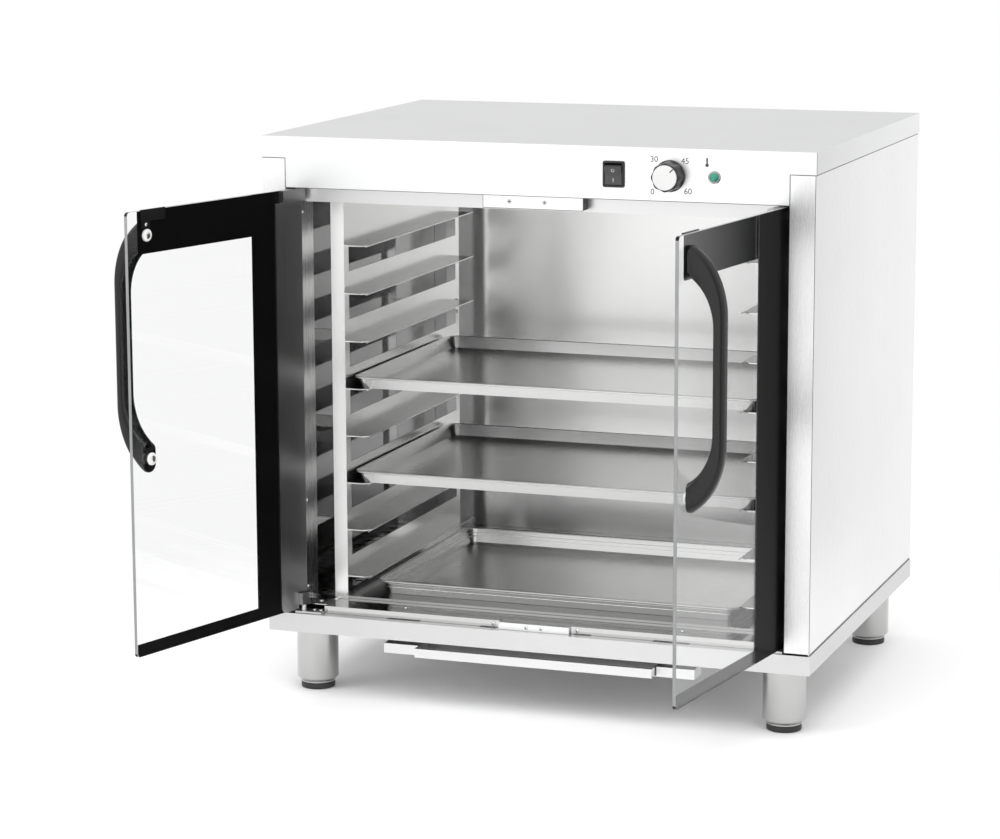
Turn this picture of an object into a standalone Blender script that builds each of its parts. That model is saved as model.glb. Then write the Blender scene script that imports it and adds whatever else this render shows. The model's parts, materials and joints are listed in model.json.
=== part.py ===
"""A two-door proofing cabinet with its racks, trays, doors, heater and controls. Metres, +Z up.

Everything is first built in the cabinet's own frame: x runs across from the left side, y runs back from
the front face, and z runs up from the underside of the base. The last step moves the root so that the
whole object's bottom centre lies on the world's origin.
"""

import math

import bmesh
import bpy
from mathutils import Matrix, Vector

# Cabinet
WIDTH = 0.800
DEPTH = 0.628
BODY_HEIGHT = 0.713
SHEET = 0.0012
FIT = 0.0003
OVERRUN = 0.002
ROUND_SIDES = 32

# Base and lid
PLINTH_HEIGHT = 0.027
LEDGE_DEPTH = 0.017
LID_APRON = 0.030
FASCIA_DROP = 0.042
DRAIN_SLOT_WIDTH = 0.003
DRAIN_SLOT_BEFORE_RISER = 0.0015
LONG_DRAIN_SLOT = 0.050
SHORT_DRAIN_SLOT = 0.025
LONG_SLOT_FROM_CENTRE = 0.173
SHORT_SLOT_FROM_CENTRE = 0.057
DRAIN_OUTLET_LENGTH = 0.200
DRAIN_OUTLET_WIDTH = 0.006
DRAIN_OUTLET_FROM_FRONT = 0.022

# Side panels: skin, door post and the return beside the door
POST_WIDTH = 0.036
POST_ABOVE_PLINTH = 0.003
RETURN_DEPTH = 0.097
REAR_FLANGE = 0.014
SKIN_ABOVE_BASE = 0.0015

# Inner walls, ceiling and floors
WALL_STEP = 0.0018
WALL_FLANGE = 0.015
REAR_GAP = 0.038
FLOOR_STEP = 0.0105
RISER_FROM_FRONT = 0.016
STRIP_DEPTH = 0.056
PERFORATED_ABOVE_STRIP = 0.0037
PERFORATED_FROM_FRONT = 0.0705
SLOT_LENGTH = 0.020
SLOT_WIDTH = 0.006
SLOT_PITCH = 0.032
SLOT_COLUMN_PITCH = 0.026
SLOT_SIDE_MARGIN = 0.006
SLOT_END_MARGIN = 0.025
HEADER_FROM_FRONT = 0.030
HEADER_BELOW_FASCIA = 0.022
HEADER_HEIGHT = 0.035
HEADER_FLANGE = 0.025

# Door stops
CATCH_WIDTH = 0.144
CATCH_HEIGHT = 0.0176
CATCH_GAP = 0.0006
MAGNET_LENGTH = 0.040
MAGNET_FROM_CENTRE = 0.026
MAGNET_HEIGHT = 0.012
MAGNET_DEPTH = 0.014
STOP_WIDTH = 0.104
STOP_DEPTH = 0.0176
STOP_HEIGHT = 0.0099
NOTCH_CLEARANCE = 0.0005

# Racks
RACK_FROM_SIDE = 0.097
RACK_FROM_FRONT = 0.064
RACK_BEFORE_BACK_WALL = 0.060
RACK_POST = 0.020
RACK_CLIP_WIDTH = 0.012
RACK_CLIP_HEIGHT = 0.010
RACK_CLIP_BELOW_TOP = 0.2207
FIRST_LEVEL = 0.0685
LEDGE_SPACING = 0.069
ROOM_ABOVE_LEDGES = 0.040
LEDGE_WIDTH = 0.028
LEDGE_FRONT_MARGIN = 0.017
LEDGE_BACK_MARGIN = 0.015
LEDGE_CORNER = 0.010
WINDOW_HEIGHT = 0.036

# Baking trays and water pan
TRAY_SIDE_GAP = 0.003
TRAY_BEHIND_RACK_FRONT = 0.016
TRAY_BEFORE_RACK_BACK = 0.050
TRAY_HEIGHT = 0.0175
TRAY_SHEET = 0.0012
TRAY_CORNER = 0.018
TRAY_SLOPE = 0.006
TRAY_RIM = 0.004
TRAY_ON_LEDGE = {2: "lower_tray", 4: "upper_tray"}
PAN_SIDE_GAP = 0.031
PAN_BEHIND_RACK_FRONT = 0.025
PAN_BEFORE_RACK_BACK = 0.056
PAN_HEIGHT = 0.021
PAN_CORNER = 0.022
PAN_SLOPE = 0.005
PAN_RIM = 0.010
CORNER_STEPS = 5

# Legs, levelling feet
LEG_RADIUS = 0.030
LEG_HEIGHT = 0.085
LEG_WALL = 0.0015
LEG_TOP_PLATE = 0.003
LEG_CHAMFER = 0.005
LEG_INSET_X = 0.050
LEG_INSET_Y = 0.060
LEG_MOUTH = 0.0022
FOOT_RADIUS = 0.0245
FOOT_THICKNESS = 0.0085
FOOT_STEM = 0.006
FOOT_STEM_LENGTH = 0.030
FOOT_ROUND = 0.0015

# Doors
DOOR_SIDE_GAP = 0.0036
DOOR_CENTRE_GAP = 0.002
DOOR_BEHIND_FRONT = 0.0005
DOOR_ABOVE_LEDGE = 0.0065
DOOR_BELOW_FASCIA = 0.0025
GLASS = 0.005
GLASS_CORNER = 0.005
STILE_SHEET = 0.0015
STILE_WIDTH = 0.057
STILE_BELOW_TOP = 0.017
STILE_CORNER = 0.010
PIVOT_FROM_EDGE = 0.011
PIVOT_BEHIND_GLASS_FACE = 0.0095
PIN_RADIUS = 0.0022
PIN_CLEARANCE = 0.0004
PIN_LENGTH = 0.0065
LEFT_DOOR_OPEN = 106.2
RIGHT_DOOR_OPEN = 82.1

# Hinge leaves and brackets
LEAF_THICKNESS = 0.0084
TOP_LEAF_LENGTH = 0.048
TOP_LEAF_ABOVE_GLASS = 0.0008
BOTTOM_LEAF_LENGTH = 0.016
BOTTOM_LEAF_HEIGHT = 0.017
BRACKET_THICKNESS = 0.003
TOP_BRACKET_ABOVE_LEAF = 0.003
TOP_BRACKET_WIDTH = 0.021
TOP_BRACKET_FRONT_GAP = 0.0008
TOP_BRACKET_FLANGE = 0.018
BOTTOM_BRACKET_LENGTH = 0.040
BOTTOM_BRACKET_FRONT = 0.003
BOTTOM_BRACKET_DEPTH = 0.022
BUSHING_RADIUS = 0.004
BUSHING_HEIGHT = 0.0091
BOTTOM_PIN_LENGTH = 0.0105

# Door handles and strike plates
HANDLE_FROM_FREE_EDGE = 0.0366
HANDLE_BOLT_BELOW_TOP = 0.0332
HANDLE_BOLT_PITCH = 0.303
HANDLE_END = 0.019
HANDLE_FOOT = 0.039
HANDLE_REACH = 0.049
HANDLE_THICKNESS = 0.015
HANDLE_WIDTH = 0.025
HANDLE_TIP = 0.004
HANDLE_OUTER_BEND = 0.090
HANDLE_INNER_BEND = 0.065
HANDLE_BEND_START = 25.0
HANDLE_BEND_STEPS = 9
HANDLE_ROUND = 0.004
BOLT_RADIUS = 0.003
BOLT_DEPTH = 0.010
BOLT_HOLE = 0.004
BOLT_CAP_RADIUS = 0.0085
BOLT_CAP_HEIGHT = 0.0035
BOLT_CAP_ROUND = 0.0015
BOLT_SOCKET_RADIUS = 0.0025
BOLT_SOCKET_DEPTH = 0.002
STRIKE_FROM_FREE_EDGE = 0.0247
STRIKE_LENGTH = 0.048
STRIKE_BAND = 0.016
STRIKE_LEG_LENGTH = 0.0257
STRIKE_LEG_WIDTH = 0.018
STRIKE_THICKNESS = 0.0025
STRIKE_ABOVE_GLASS = 0.0015

# Controls on the fascia
CONTROL_BELOW_TOP = 0.0374
KNOB_FROM_RIGHT = 0.202
LAMP_FROM_RIGHT = 0.140
SWITCH_FROM_RIGHT = 0.281
SWITCH_WIDTH = 0.031
SWITCH_HEIGHT = 0.036
SWITCH_FLANGE = 0.0025
SWITCH_RIM = 0.002
SWITCH_BODY_DEPTH = 0.026
SWITCH_WALL = 0.003
SWITCH_POCKET = 0.011
SWITCH_CUTOUT_GAP = 0.0004
ROCKER_SIDE_GAP = 0.0006
ROCKER_HEIGHT = 0.0255
ROCKER_PIVOT_BEHIND = 0.004
ROCKER_BACK = 0.0048
ROCKER_MIDDLE = 0.0072
ROCKER_END = 0.0092
ROCKER_TILT = 10.0
KNOB_GAP = 0.0004
KNOB_SKIRT_RADIUS = 0.0215
KNOB_SKIRT = 0.003
KNOB_GRIP_RADIUS = 0.0210
KNOB_FACE_RADIUS = 0.0195
KNOB_FLUTE = 0.0014
KNOB_FLUTES = 8
KNOB_FLUTE_STEPS = 12
KNOB_HEIGHT = 0.025
KNOB_CAP_RADIUS = 0.0170
KNOB_CAP_RECESS = 0.0015
KNOB_CAP = 0.0022
KNOB_BORE = 0.0036
KNOB_BORE_DEPTH = 0.014
KNOB_REST_ANGLE = 45.0
SHAFT_RADIUS = 0.003
SHAFT_HOLE = 0.0045
THERMOSTAT_WIDTH = 0.038
THERMOSTAT_DEPTH = 0.030
THERMOSTAT_BUSH_RADIUS = 0.006
LAMP_HOLE = 0.0055
LAMP_NECK_CLEARANCE = 0.0003
LAMP_BEZEL_RADIUS = 0.0088
LAMP_BEZEL = 0.002
LAMP_LENS_RADIUS = 0.0064
LAMP_LENS_HEIGHT = 0.0035
LAMP_LENS_SHARES = ((0, 1), (0.5, 0.87), (1, 0.33), (1, 0))
LAMP_NUT_RADIUS = 0.009
LAMP_NUT = 0.004
LAMP_BODY_RADIUS = 0.0048
LAMP_BODY_LENGTH = 0.018

# Heater and cable gland
HEATER_RADIUS = 0.004
HEATER_LEVEL = 0.018
HEATER_SPREAD = 0.200
HEATER_FRONT = 0.140
HEATER_TAIL = 0.014
HEATER_BEND_STEPS = 10
GLAND_X = 0.090
GLAND_LEVEL = 0.070
GLAND_NECK_RADIUS = 0.010
GLAND_FLANGE_RADIUS = 0.0135
GLAND_FLANGE = 0.005
GLAND_CAP_RADIUS = 0.0105
GLAND_CAP = 0.012
GLAND_BORE = 0.0042
GLAND_TAIL = 0.008

# Drip tray and its two brackets
DRIP_LENGTH = 0.352
DRIP_DEPTH = 0.050
DRIP_HEIGHT = 0.0129
DRIP_SHEET = 0.001
DRIP_TOP_BELOW_BASE = 0.0098
DRIP_BRACKET_LENGTH = 0.052
DRIP_BRACKET_FROM_FRONT = 0.018
DRIP_BRACKET_SHELF = 0.016
DRIP_BRACKET_HEIGHT = 0.014
DRIP_BRACKET_REAR_GAP = 0.0008
DRIP_BRACKET_FLANGE = 0.012
DRIP_SIDE_GAP = 0.0015

LEFT, RIGHT = "left", "right"
CENTRE_X = WIDTH / 2
LID_BOTTOM = BODY_HEIGHT - LID_APRON
FASCIA_BOTTOM = LID_BOTTOM - FASCIA_DROP
SKIN_X = SHEET + FIT
BACK_Y = DEPTH - SHEET - FIT
INNER_BACK_Y = DEPTH - REAR_GAP
WALL_X = POST_WIDTH - WALL_STEP
STRIP_TOP = PLINTH_HEIGHT + FLOOR_STEP
FLOOR_TOP = STRIP_TOP + PERFORATED_ABOVE_STRIP
HEADER_BOTTOM = FASCIA_BOTTOM - HEADER_BELOW_FASCIA
CEILING_BOTTOM = HEADER_BOTTOM + SHEET + FIT
FLANGE_X = WALL_X - SHEET + WALL_FLANGE
RACK_TOP = HEADER_BOTTOM - FIT
RACK_CLIP_LEVEL = RACK_TOP - RACK_CLIP_BELOW_TOP
RACK_LENGTH = INNER_BACK_Y - RACK_BEFORE_BACK_WALL - RACK_FROM_FRONT
LEVELS = int((RACK_TOP - ROOM_ABOVE_LEDGES - FIRST_LEVEL) / LEDGE_SPACING) + 1
TRAY_LENGTH = WIDTH - 2 * (RACK_FROM_SIDE + TRAY_SIDE_GAP)
TRAY_DEPTH = RACK_LENGTH - TRAY_BEHIND_RACK_FRONT - TRAY_BEFORE_RACK_BACK
TRAY_FROM_FRONT = RACK_FROM_FRONT + TRAY_BEHIND_RACK_FRONT
PAN_LENGTH = WIDTH - 2 * (RACK_FROM_SIDE + PAN_SIDE_GAP)
PAN_DEPTH = RACK_LENGTH - PAN_BEHIND_RACK_FRONT - PAN_BEFORE_RACK_BACK
PAN_FROM_FRONT = RACK_FROM_FRONT + PAN_BEHIND_RACK_FRONT
CONTROL_LEVEL = BODY_HEIGHT - CONTROL_BELOW_TOP
KNOB_X = WIDTH - KNOB_FROM_RIGHT
LAMP_X = WIDTH - LAMP_FROM_RIGHT
SWITCH_X = WIDTH - SWITCH_FROM_RIGHT
DOOR_BOTTOM = PLINTH_HEIGHT + DOOR_ABOVE_LEDGE
DOOR_TOP = FASCIA_BOTTOM - DOOR_BELOW_FASCIA
DOOR_EDGE_X = POST_WIDTH + DOOR_SIDE_GAP
DOOR_FREE_X = CENTRE_X - DOOR_CENTRE_GAP / 2
GLASS_X = DOOR_EDGE_X + STILE_SHEET + FIT
GLASS_BACK_Y = DOOR_BEHIND_FRONT + GLASS
LEAF_FRONT_Y = GLASS_BACK_Y + FIT
PIVOT_X = DOOR_EDGE_X + PIVOT_FROM_EDGE
PIVOT_Y = DOOR_BEHIND_FRONT + PIVOT_BEHIND_GLASS_FACE
LEAF_TOP = DOOR_TOP + TOP_LEAF_ABOVE_GLASS
LEAF_BOTTOM = PLINTH_HEIGHT + FIT + BRACKET_THICKNESS + BUSHING_HEIGHT + FIT
STRIKE_BACK_Y = LEAF_FRONT_Y + STRIKE_THICKNESS
STOP_FRONT_Y = STRIKE_BACK_Y + CATCH_GAP
HANDLE_X = DOOR_FREE_X - HANDLE_FROM_FREE_EDGE
BOLT_LEVELS = {
    "upper": DOOR_TOP - HANDLE_BOLT_BELOW_TOP,
    "lower": DOOR_TOP - HANDLE_BOLT_BELOW_TOP - HANDLE_BOLT_PITCH,
}

COLOURS = {
    "steel": ((0.80, 0.80, 0.79, 1), 0.28, 1.0),
    "polished steel": ((0.72, 0.72, 0.71, 1), 0.12, 1.0),
    "dark steel": ((0.30, 0.30, 0.30, 1), 0.35, 1.0),
    "bright steel": ((0.90, 0.90, 0.89, 1), 0.10, 1.0),
    "glass": ((0.92, 0.95, 0.94, 1), 0.02, 0.0),
    "black plastic": ((0.02, 0.02, 0.02, 1), 0.35, 0.0),
    "black rubber": ((0.03, 0.03, 0.03, 1), 0.75, 0.0),
    "green lens": ((0.02, 0.35, 0.14, 1), 0.15, 0.0),
    "grey polyamide": ((0.20, 0.20, 0.21, 1), 0.55, 0.0),
}


# Scene helpers


def clear_scene():
    for obj in list(bpy.data.objects):
        bpy.data.objects.remove(obj, do_unlink=True)


def material(name):
    found = bpy.data.materials.get(name)
    if found:
        return found
    colour, roughness, metallic = COLOURS[name]
    made = bpy.data.materials.new(name)
    made.use_nodes = True
    shader = made.node_tree.nodes["Principled BSDF"]
    shader.inputs["Base Color"].default_value = colour
    shader.inputs["Roughness"].default_value = roughness
    shader.inputs["Metallic"].default_value = metallic
    return made


def add_empty(name, parent, place=(0, 0, 0), turn_z=0.0, turn_x=0.0, turn_y=0.0):
    """An empty that carries a body. The place is in the cabinet's frame."""
    empty = bpy.data.objects.new(name, None)
    bpy.context.scene.collection.objects.link(empty)
    empty.parent = parent
    empty.location = place
    empty.rotation_euler = [math.radians(a) for a in (turn_x, turn_y, turn_z)]
    return empty


# Solids: each function returns a closed bmesh in the cabinet's frame


def outline_to_space(axis, level, u, v):
    """A point of an outline drawn square to the axis. The outline's own axes are the other two, in order."""
    if axis == "x":
        return (level, u, v)
    if axis == "y":
        return (u, level, v)
    return (u, v, level)


def prism(outline, axis, low, high):
    bm = bmesh.new()
    ends = []
    for level in (low, high):
        ends.append([bm.verts.new(outline_to_space(axis, level, u, v)) for u, v in outline])
    bm.faces.new(ends[0])
    bm.faces.new(ends[1])
    for i in range(len(outline)):
        j = (i + 1) % len(outline)
        bm.faces.new((ends[0][i], ends[0][j], ends[1][j], ends[1][i]))
    bmesh.ops.recalc_face_normals(bm, faces=bm.faces)
    return bm


def block(x, y, z):
    """A box, from its span along each axis."""
    outline = [(x[0], y[0]), (x[1], y[0]), (x[1], y[1]), (x[0], y[1])]
    return prism(outline, "z", z[0], z[1])


def folded_sheet(path, thickness, axis, low, high):
    """A sheet folded along the path, with its thickness to the left of the path."""
    points = [Vector(p) for p in path]
    normals = []
    for a, b in zip(points, points[1:]):
        along = (b - a).normalized()
        normals.append(Vector((-along.y, along.x)))
    moved = [points[0] + normals[0] * thickness]
    for point, before, after in zip(points[1:-1], normals, normals[1:]):
        moved.append(point + (before + after) * (thickness / (1 + before.dot(after))))
    moved.append(points[-1] + normals[-1] * thickness)
    outline = [tuple(p) for p in points + moved[::-1]]
    return prism(outline, axis, low, high)


def circle(u, v, radius, sides=ROUND_SIDES, start=0.0):
    turn = 2 * math.pi / sides
    return [
        (u + radius * math.cos(start + i * turn), v + radius * math.sin(start + i * turn))
        for i in range(sides)
    ]


def rod(u, v, radius, axis, low, high, sides=ROUND_SIDES):
    return prism(circle(u, v, radius, sides), axis, low, high)


def turned(profile, u, v, axis, sides=ROUND_SIDES):
    """A profile of (radius, level) pairs turned about an axis through (u, v). Its ends close on the axis."""
    bm = bmesh.new()
    rings = []
    for radius, level in profile:
        points = [(u, v)] if radius == 0 else circle(u, v, radius, sides)
        rings.append([bm.verts.new(outline_to_space(axis, level, *p)) for p in points])
    for a, b in zip(rings, rings[1:]):
        for i in range(sides):
            j = (i + 1) % sides
            corners = [a[i % len(a)], a[j % len(a)], b[j % len(b)], b[i % len(b)]]
            distinct = list(dict.fromkeys(corners))
            if len(distinct) > 2:
                bm.faces.new(distinct)
    for end in (rings[0], rings[-1]):
        if len(end) > 1:
            bm.faces.new(end)
    bmesh.ops.recalc_face_normals(bm, faces=bm.faces)
    return bm


def rounded_rectangle(u, v, radius, steps=CORNER_STEPS):
    """The outline of a rectangle with the spans u and v and round corners, anticlockwise."""
    outline = []
    corners = ((u[1], v[1], 0), (u[0], v[1], 90), (u[0], v[0], 180), (u[1], v[0], 270))
    for cu, cv, start in corners:
        centre_u = cu - radius if cu == u[1] else cu + radius
        centre_v = cv - radius if cv == v[1] else cv + radius
        for i in range(steps + 1):
            angle = math.radians(start + 90 * i / steps)
            outline.append((centre_u + radius * math.cos(angle), centre_v + radius * math.sin(angle)))
    return outline


def shell_box(x, y, z, thickness, open_top):
    """A box of sheet with one open side, the top or the bottom."""
    wall_x = (x[0] + thickness, x[1] - thickness)
    wall_y = (y[0] + thickness, y[1] - thickness)
    wall_z = (z[0] + thickness, z[1] + OVERRUN) if open_top else (z[0] - OVERRUN, z[1] - thickness)
    return [block(x, y, z)], [block(wall_x, wall_y, wall_z)]


def pan_solid(x, y, bottom, height, sheet, corner, slope, rim):
    """A pressed pan: a flat floor, sloped sides and a flat rim, as one closed sheet of even thickness."""
    top = bottom + height
    loops = [
        (rim + slope, bottom),
        (rim, top - sheet),
        (0, top - sheet),
        (0, top),
        (rim + sheet, top),
        (rim + slope + sheet, bottom + sheet),
    ]
    bm = bmesh.new()
    rings = []
    for inset, level in loops:
        outline = rounded_rectangle(
            (x[0] + inset, x[1] - inset), (y[0] + inset, y[1] - inset), max(corner - inset, sheet)
        )
        rings.append([bm.verts.new((u, v, level)) for u, v in outline])
    for a, b in zip(rings, rings[1:]):
        for i in range(len(a)):
            j = (i + 1) % len(a)
            bm.faces.new((a[i], a[j], b[j], b[i]))
    bm.faces.new(rings[0])
    bm.faces.new(rings[-1])
    bmesh.ops.recalc_face_normals(bm, faces=bm.faces)
    return bm


def mirror_solid(bm):
    """The same solid on the other side of the cabinet's middle plane."""
    flip = Matrix.Translation((WIDTH, 0, 0)) @ Matrix.Scale(-1, 4, (1, 0, 0))
    bmesh.ops.transform(bm, matrix=flip, verts=bm.verts)
    bmesh.ops.reverse_faces(bm, faces=bm.faces)
    return bm


# Pieces: each becomes one object, with its unions and cuts worked out here


def object_of(name, bm):
    mesh = bpy.data.meshes.new(name)
    bm.to_mesh(mesh)
    bm.free()
    obj = bpy.data.objects.new(name, mesh)
    bpy.context.scene.collection.objects.link(obj)
    return obj


def combine(obj, solids, operation):
    """Applies one Boolean for each solid, then removes the helpers."""
    for bm in solids:
        helper = object_of(obj.name + "_helper", bm)
        helper.hide_render = True
        helper.display_type = "WIRE"
        change = obj.modifiers.new(operation.lower(), "BOOLEAN")
        change.operation = operation
        change.solver = "EXACT"
        change.object = helper
        graph = bpy.context.evaluated_depsgraph_get()
        mesh = bpy.data.meshes.new_from_object(obj.evaluated_get(graph))
        obj.modifiers.clear()
        obj.data = mesh
        bpy.data.objects.remove(helper, do_unlink=True)


def merge_solids(solids):
    """Puts solids that don't touch into one, so that one Boolean cuts them all."""
    whole = bmesh.new()
    for bm in solids:
        mesh = bpy.data.meshes.new("merged")
        bm.to_mesh(mesh)
        bm.free()
        whole.from_mesh(mesh)
        bpy.data.meshes.remove(mesh)
    return whole


def add_piece(name, finish, parent, adds, cuts=(), side=LEFT, pivot=(0, 0, 0), bevel=None, sharp=35.0):
    """One named piece. Its solids are in the cabinet's frame, and its parent stands at the pivot."""
    adds, cuts = list(adds), list(cuts)
    if side == RIGHT:
        adds = [mirror_solid(bm) for bm in adds]
        cuts = [mirror_solid(bm) for bm in cuts]
    obj = object_of(name, adds[0])
    combine(obj, adds[1:], "UNION")
    combine(obj, cuts, "DIFFERENCE")
    obj.data.transform(Matrix.Translation([-c for c in pivot]))
    obj.data.materials.clear()
    obj.data.materials.append(material(finish))
    obj.data.shade_smooth()
    obj.data.set_sharp_from_angle(angle=math.radians(sharp))
    obj.parent = parent
    if bevel:
        width, segments = bevel
        rounding = obj.modifiers.new("rounded edges", "BEVEL")
        rounding.width = width
        rounding.segments = segments
        rounding.limit_method = "ANGLE"
        rounding.angle_limit = math.radians(sharp)
    return obj


# Outer body


def drain_slots():
    back = RISER_FROM_FRONT - DRAIN_SLOT_BEFORE_RISER
    y = (back - DRAIN_SLOT_WIDTH, back)
    z = (PLINTH_HEIGHT - SHEET - OVERRUN, PLINTH_HEIGHT + OVERRUN)
    slots = []
    sizes = ((LONG_SLOT_FROM_CENTRE, LONG_DRAIN_SLOT), (SHORT_SLOT_FROM_CENTRE, SHORT_DRAIN_SLOT))
    for start, length in sizes:
        slots.append(block((CENTRE_X + start, CENTRE_X + start + length), y, z))
        slots.append(block((CENTRE_X - start - length, CENTRE_X - start), y, z))
    return slots


def add_base_pan(body):
    whole = block((0, WIDTH), (0, DEPTH), (0, PLINTH_HEIGHT))
    x = (SHEET, WIDTH - SHEET)
    inside = block(x, (LEDGE_DEPTH, DEPTH - SHEET), (SHEET, PLINTH_HEIGHT + OVERRUN))
    under_ledge = block(x, (SHEET, LEDGE_DEPTH + OVERRUN), (SHEET, PLINTH_HEIGHT - SHEET))
    outlet = block(
        (CENTRE_X - DRAIN_OUTLET_LENGTH / 2, CENTRE_X + DRAIN_OUTLET_LENGTH / 2),
        (DRAIN_OUTLET_FROM_FRONT, DRAIN_OUTLET_FROM_FRONT + DRAIN_OUTLET_WIDTH),
        (-OVERRUN, SHEET + OVERRUN),
    )
    holes = merge_solids(drain_slots() + [outlet])
    add_piece("base_pan", "steel", body, [whole], [inside, under_ledge, holes])


def add_top_cover(body):
    adds, cuts = shell_box((0, WIDTH), (0, DEPTH), (LID_BOTTOM, BODY_HEIGHT), SHEET, open_top=False)
    post_gap = POST_WIDTH + FIT
    fascia = block((post_gap, WIDTH - post_gap), (0, SHEET), (FASCIA_BOTTOM, LID_BOTTOM + SHEET))
    through = (-OVERRUN, SHEET + OVERRUN)
    cutout_x = SWITCH_WIDTH / 2 - SWITCH_RIM + SWITCH_CUTOUT_GAP
    cutout_z = SWITCH_HEIGHT / 2 - SWITCH_RIM + SWITCH_CUTOUT_GAP
    holes = [
        block(
            (SWITCH_X - cutout_x, SWITCH_X + cutout_x),
            through,
            (CONTROL_LEVEL - cutout_z, CONTROL_LEVEL + cutout_z),
        ),
        rod(KNOB_X, CONTROL_LEVEL, SHAFT_HOLE, "y", *through),
        rod(LAMP_X, CONTROL_LEVEL, LAMP_HOLE, "y", *through),
    ]
    add_piece("top_cover", "steel", body, adds + [fascia], cuts + [merge_solids(holes)])


def add_side_panel(body, side):
    path = [
        (POST_WIDTH, RETURN_DEPTH),
        (POST_WIDTH, 0),
        (SKIN_X, 0),
        (SKIN_X, BACK_Y - SHEET - FIT),
        (SKIN_X + REAR_FLANGE, BACK_Y - SHEET - FIT),
    ]
    panel = folded_sheet(path[::-1], SHEET, "z", SKIN_ABOVE_BASE, LID_BOTTOM - FIT)
    low = SKIN_ABOVE_BASE - OVERRUN
    x1 = POST_WIDTH + OVERRUN
    post_z = (low, PLINTH_HEIGHT + POST_ABOVE_PLINTH)
    foot = block((SKIN_X + SHEET + FIT, x1), (-OVERRUN, RETURN_DEPTH + OVERRUN), post_z)
    face = block((SKIN_X - OVERRUN, x1), (-OVERRUN, SHEET + FIT), post_z)
    beside_ledge = block((SKIN_X - OVERRUN, x1), (-OVERRUN, LEDGE_DEPTH + FIT), (low, PLINTH_HEIGHT + FIT))
    add_piece(side + "_side_panel", "steel", body, [panel], [foot, face, beside_ledge], side)


def add_back_panel(body):
    z = (SKIN_ABOVE_BASE, BODY_HEIGHT - SHEET - FIT)
    panel = block((SKIN_X, WIDTH - SKIN_X), (BACK_Y - SHEET, BACK_Y), z)
    through = (BACK_Y - SHEET - OVERRUN, BACK_Y + OVERRUN)
    hole = rod(GLAND_X, GLAND_LEVEL, GLAND_NECK_RADIUS + FIT, "y", *through)
    add_piece("back_panel", "steel", body, [panel], [hole])


# Inner body


def add_inner_side_wall(body, side):
    bottom, top = STRIP_TOP + FIT, CEILING_BOTTOM - FIT
    path = [(FLANGE_X, bottom), (WALL_X - SHEET, bottom), (WALL_X - SHEET, top), (FLANGE_X, top)]
    wall = folded_sheet(path[::-1], SHEET, "y", RETURN_DEPTH + FIT, INNER_BACK_Y - SHEET - FIT)
    add_piece(f"inner_{side}_wall", "polished steel", body, [wall], side=side)


def heater_ends():
    return (CENTRE_X - HEATER_SPREAD / 2, CENTRE_X + HEATER_SPREAD / 2)


def add_inner_back_wall(body):
    x = (WALL_X + FIT, WIDTH - WALL_X - FIT)
    wall = block(x, (INNER_BACK_Y - SHEET, INNER_BACK_Y), (SHEET + FIT, CEILING_BOTTOM + SHEET))
    through = (INNER_BACK_Y - SHEET - OVERRUN, INNER_BACK_Y + OVERRUN)
    holes = [rod(end, HEATER_LEVEL, HEATER_RADIUS + FIT, "y", *through) for end in heater_ends()]
    add_piece("inner_back_wall", "polished steel", body, [wall], [merge_solids(holes)])


def add_ceiling_panel(body):
    x = (POST_WIDTH + FIT, WIDTH - POST_WIDTH - FIT)
    y = (HEADER_FROM_FRONT + SHEET + FIT, INNER_BACK_Y - SHEET - FIT)
    panel = block(x, y, (CEILING_BOTTOM, CEILING_BOTTOM + SHEET))
    add_piece("ceiling_panel", "polished steel", body, [panel])


def add_front_header(body):
    path = [
        (HEADER_FROM_FRONT, HEADER_BOTTOM + HEADER_HEIGHT),
        (HEADER_FROM_FRONT, HEADER_BOTTOM),
        (HEADER_FROM_FRONT + HEADER_FLANGE, HEADER_BOTTOM),
    ]
    x = (POST_WIDTH + FIT, WIDTH - POST_WIDTH - FIT)
    add_piece("front_header", "steel", body, [folded_sheet(path, SHEET, "x", *x)])


def add_floor_front_strip(body):
    path = [
        (RISER_FROM_FRONT, PLINTH_HEIGHT + FIT),
        (RISER_FROM_FRONT, STRIP_TOP),
        (RISER_FROM_FRONT + STRIP_DEPTH, STRIP_TOP),
    ]
    x = (POST_WIDTH + FIT, WIDTH - POST_WIDTH - FIT)
    strip = folded_sheet(path[::-1], SHEET, "x", *x)
    front = RISER_FROM_FRONT - OVERRUN
    z = (PLINTH_HEIGHT, STRIP_TOP + OVERRUN)
    half = STOP_WIDTH / 2 + NOTCH_CLEARANCE
    stop_back = STOP_FRONT_Y + STOP_DEPTH + NOTCH_CLEARANCE
    bracket_x = DOOR_EDGE_X + BOTTOM_BRACKET_LENGTH + NOTCH_CLEARANCE
    bracket_back = BOTTOM_BRACKET_FRONT + BOTTOM_BRACKET_DEPTH + NOTCH_CLEARANCE
    notches = [
        block((CENTRE_X - half, CENTRE_X + half), (front, stop_back), z),
        block((0, bracket_x), (front, bracket_back), z),
        block((WIDTH - bracket_x, WIDTH), (front, bracket_back), z),
    ]
    add_piece("floor_front_strip", "polished steel", body, [strip], [merge_solids(notches)])


def floor_slots():
    """Two columns of slots beside each rack, from the front of the floor to its back."""
    first = PERFORATED_FROM_FRONT + SLOT_END_MARGIN
    last = INNER_BACK_Y - SLOT_END_MARGIN
    rows = int((last - first) / SLOT_PITCH) + 1
    slots = []
    for column in range(2):
        left = POST_WIDTH + FIT + SLOT_SIDE_MARGIN + column * SLOT_COLUMN_PITCH
        for row in range(rows):
            y = (first + row * SLOT_PITCH, first + row * SLOT_PITCH + SLOT_WIDTH)
            z = (FLOOR_TOP - SHEET - OVERRUN, FLOOR_TOP + OVERRUN)
            for start in (left, WIDTH - left - SLOT_LENGTH):
                slots.append(block((start, start + SLOT_LENGTH), y, z))
    return slots


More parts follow.
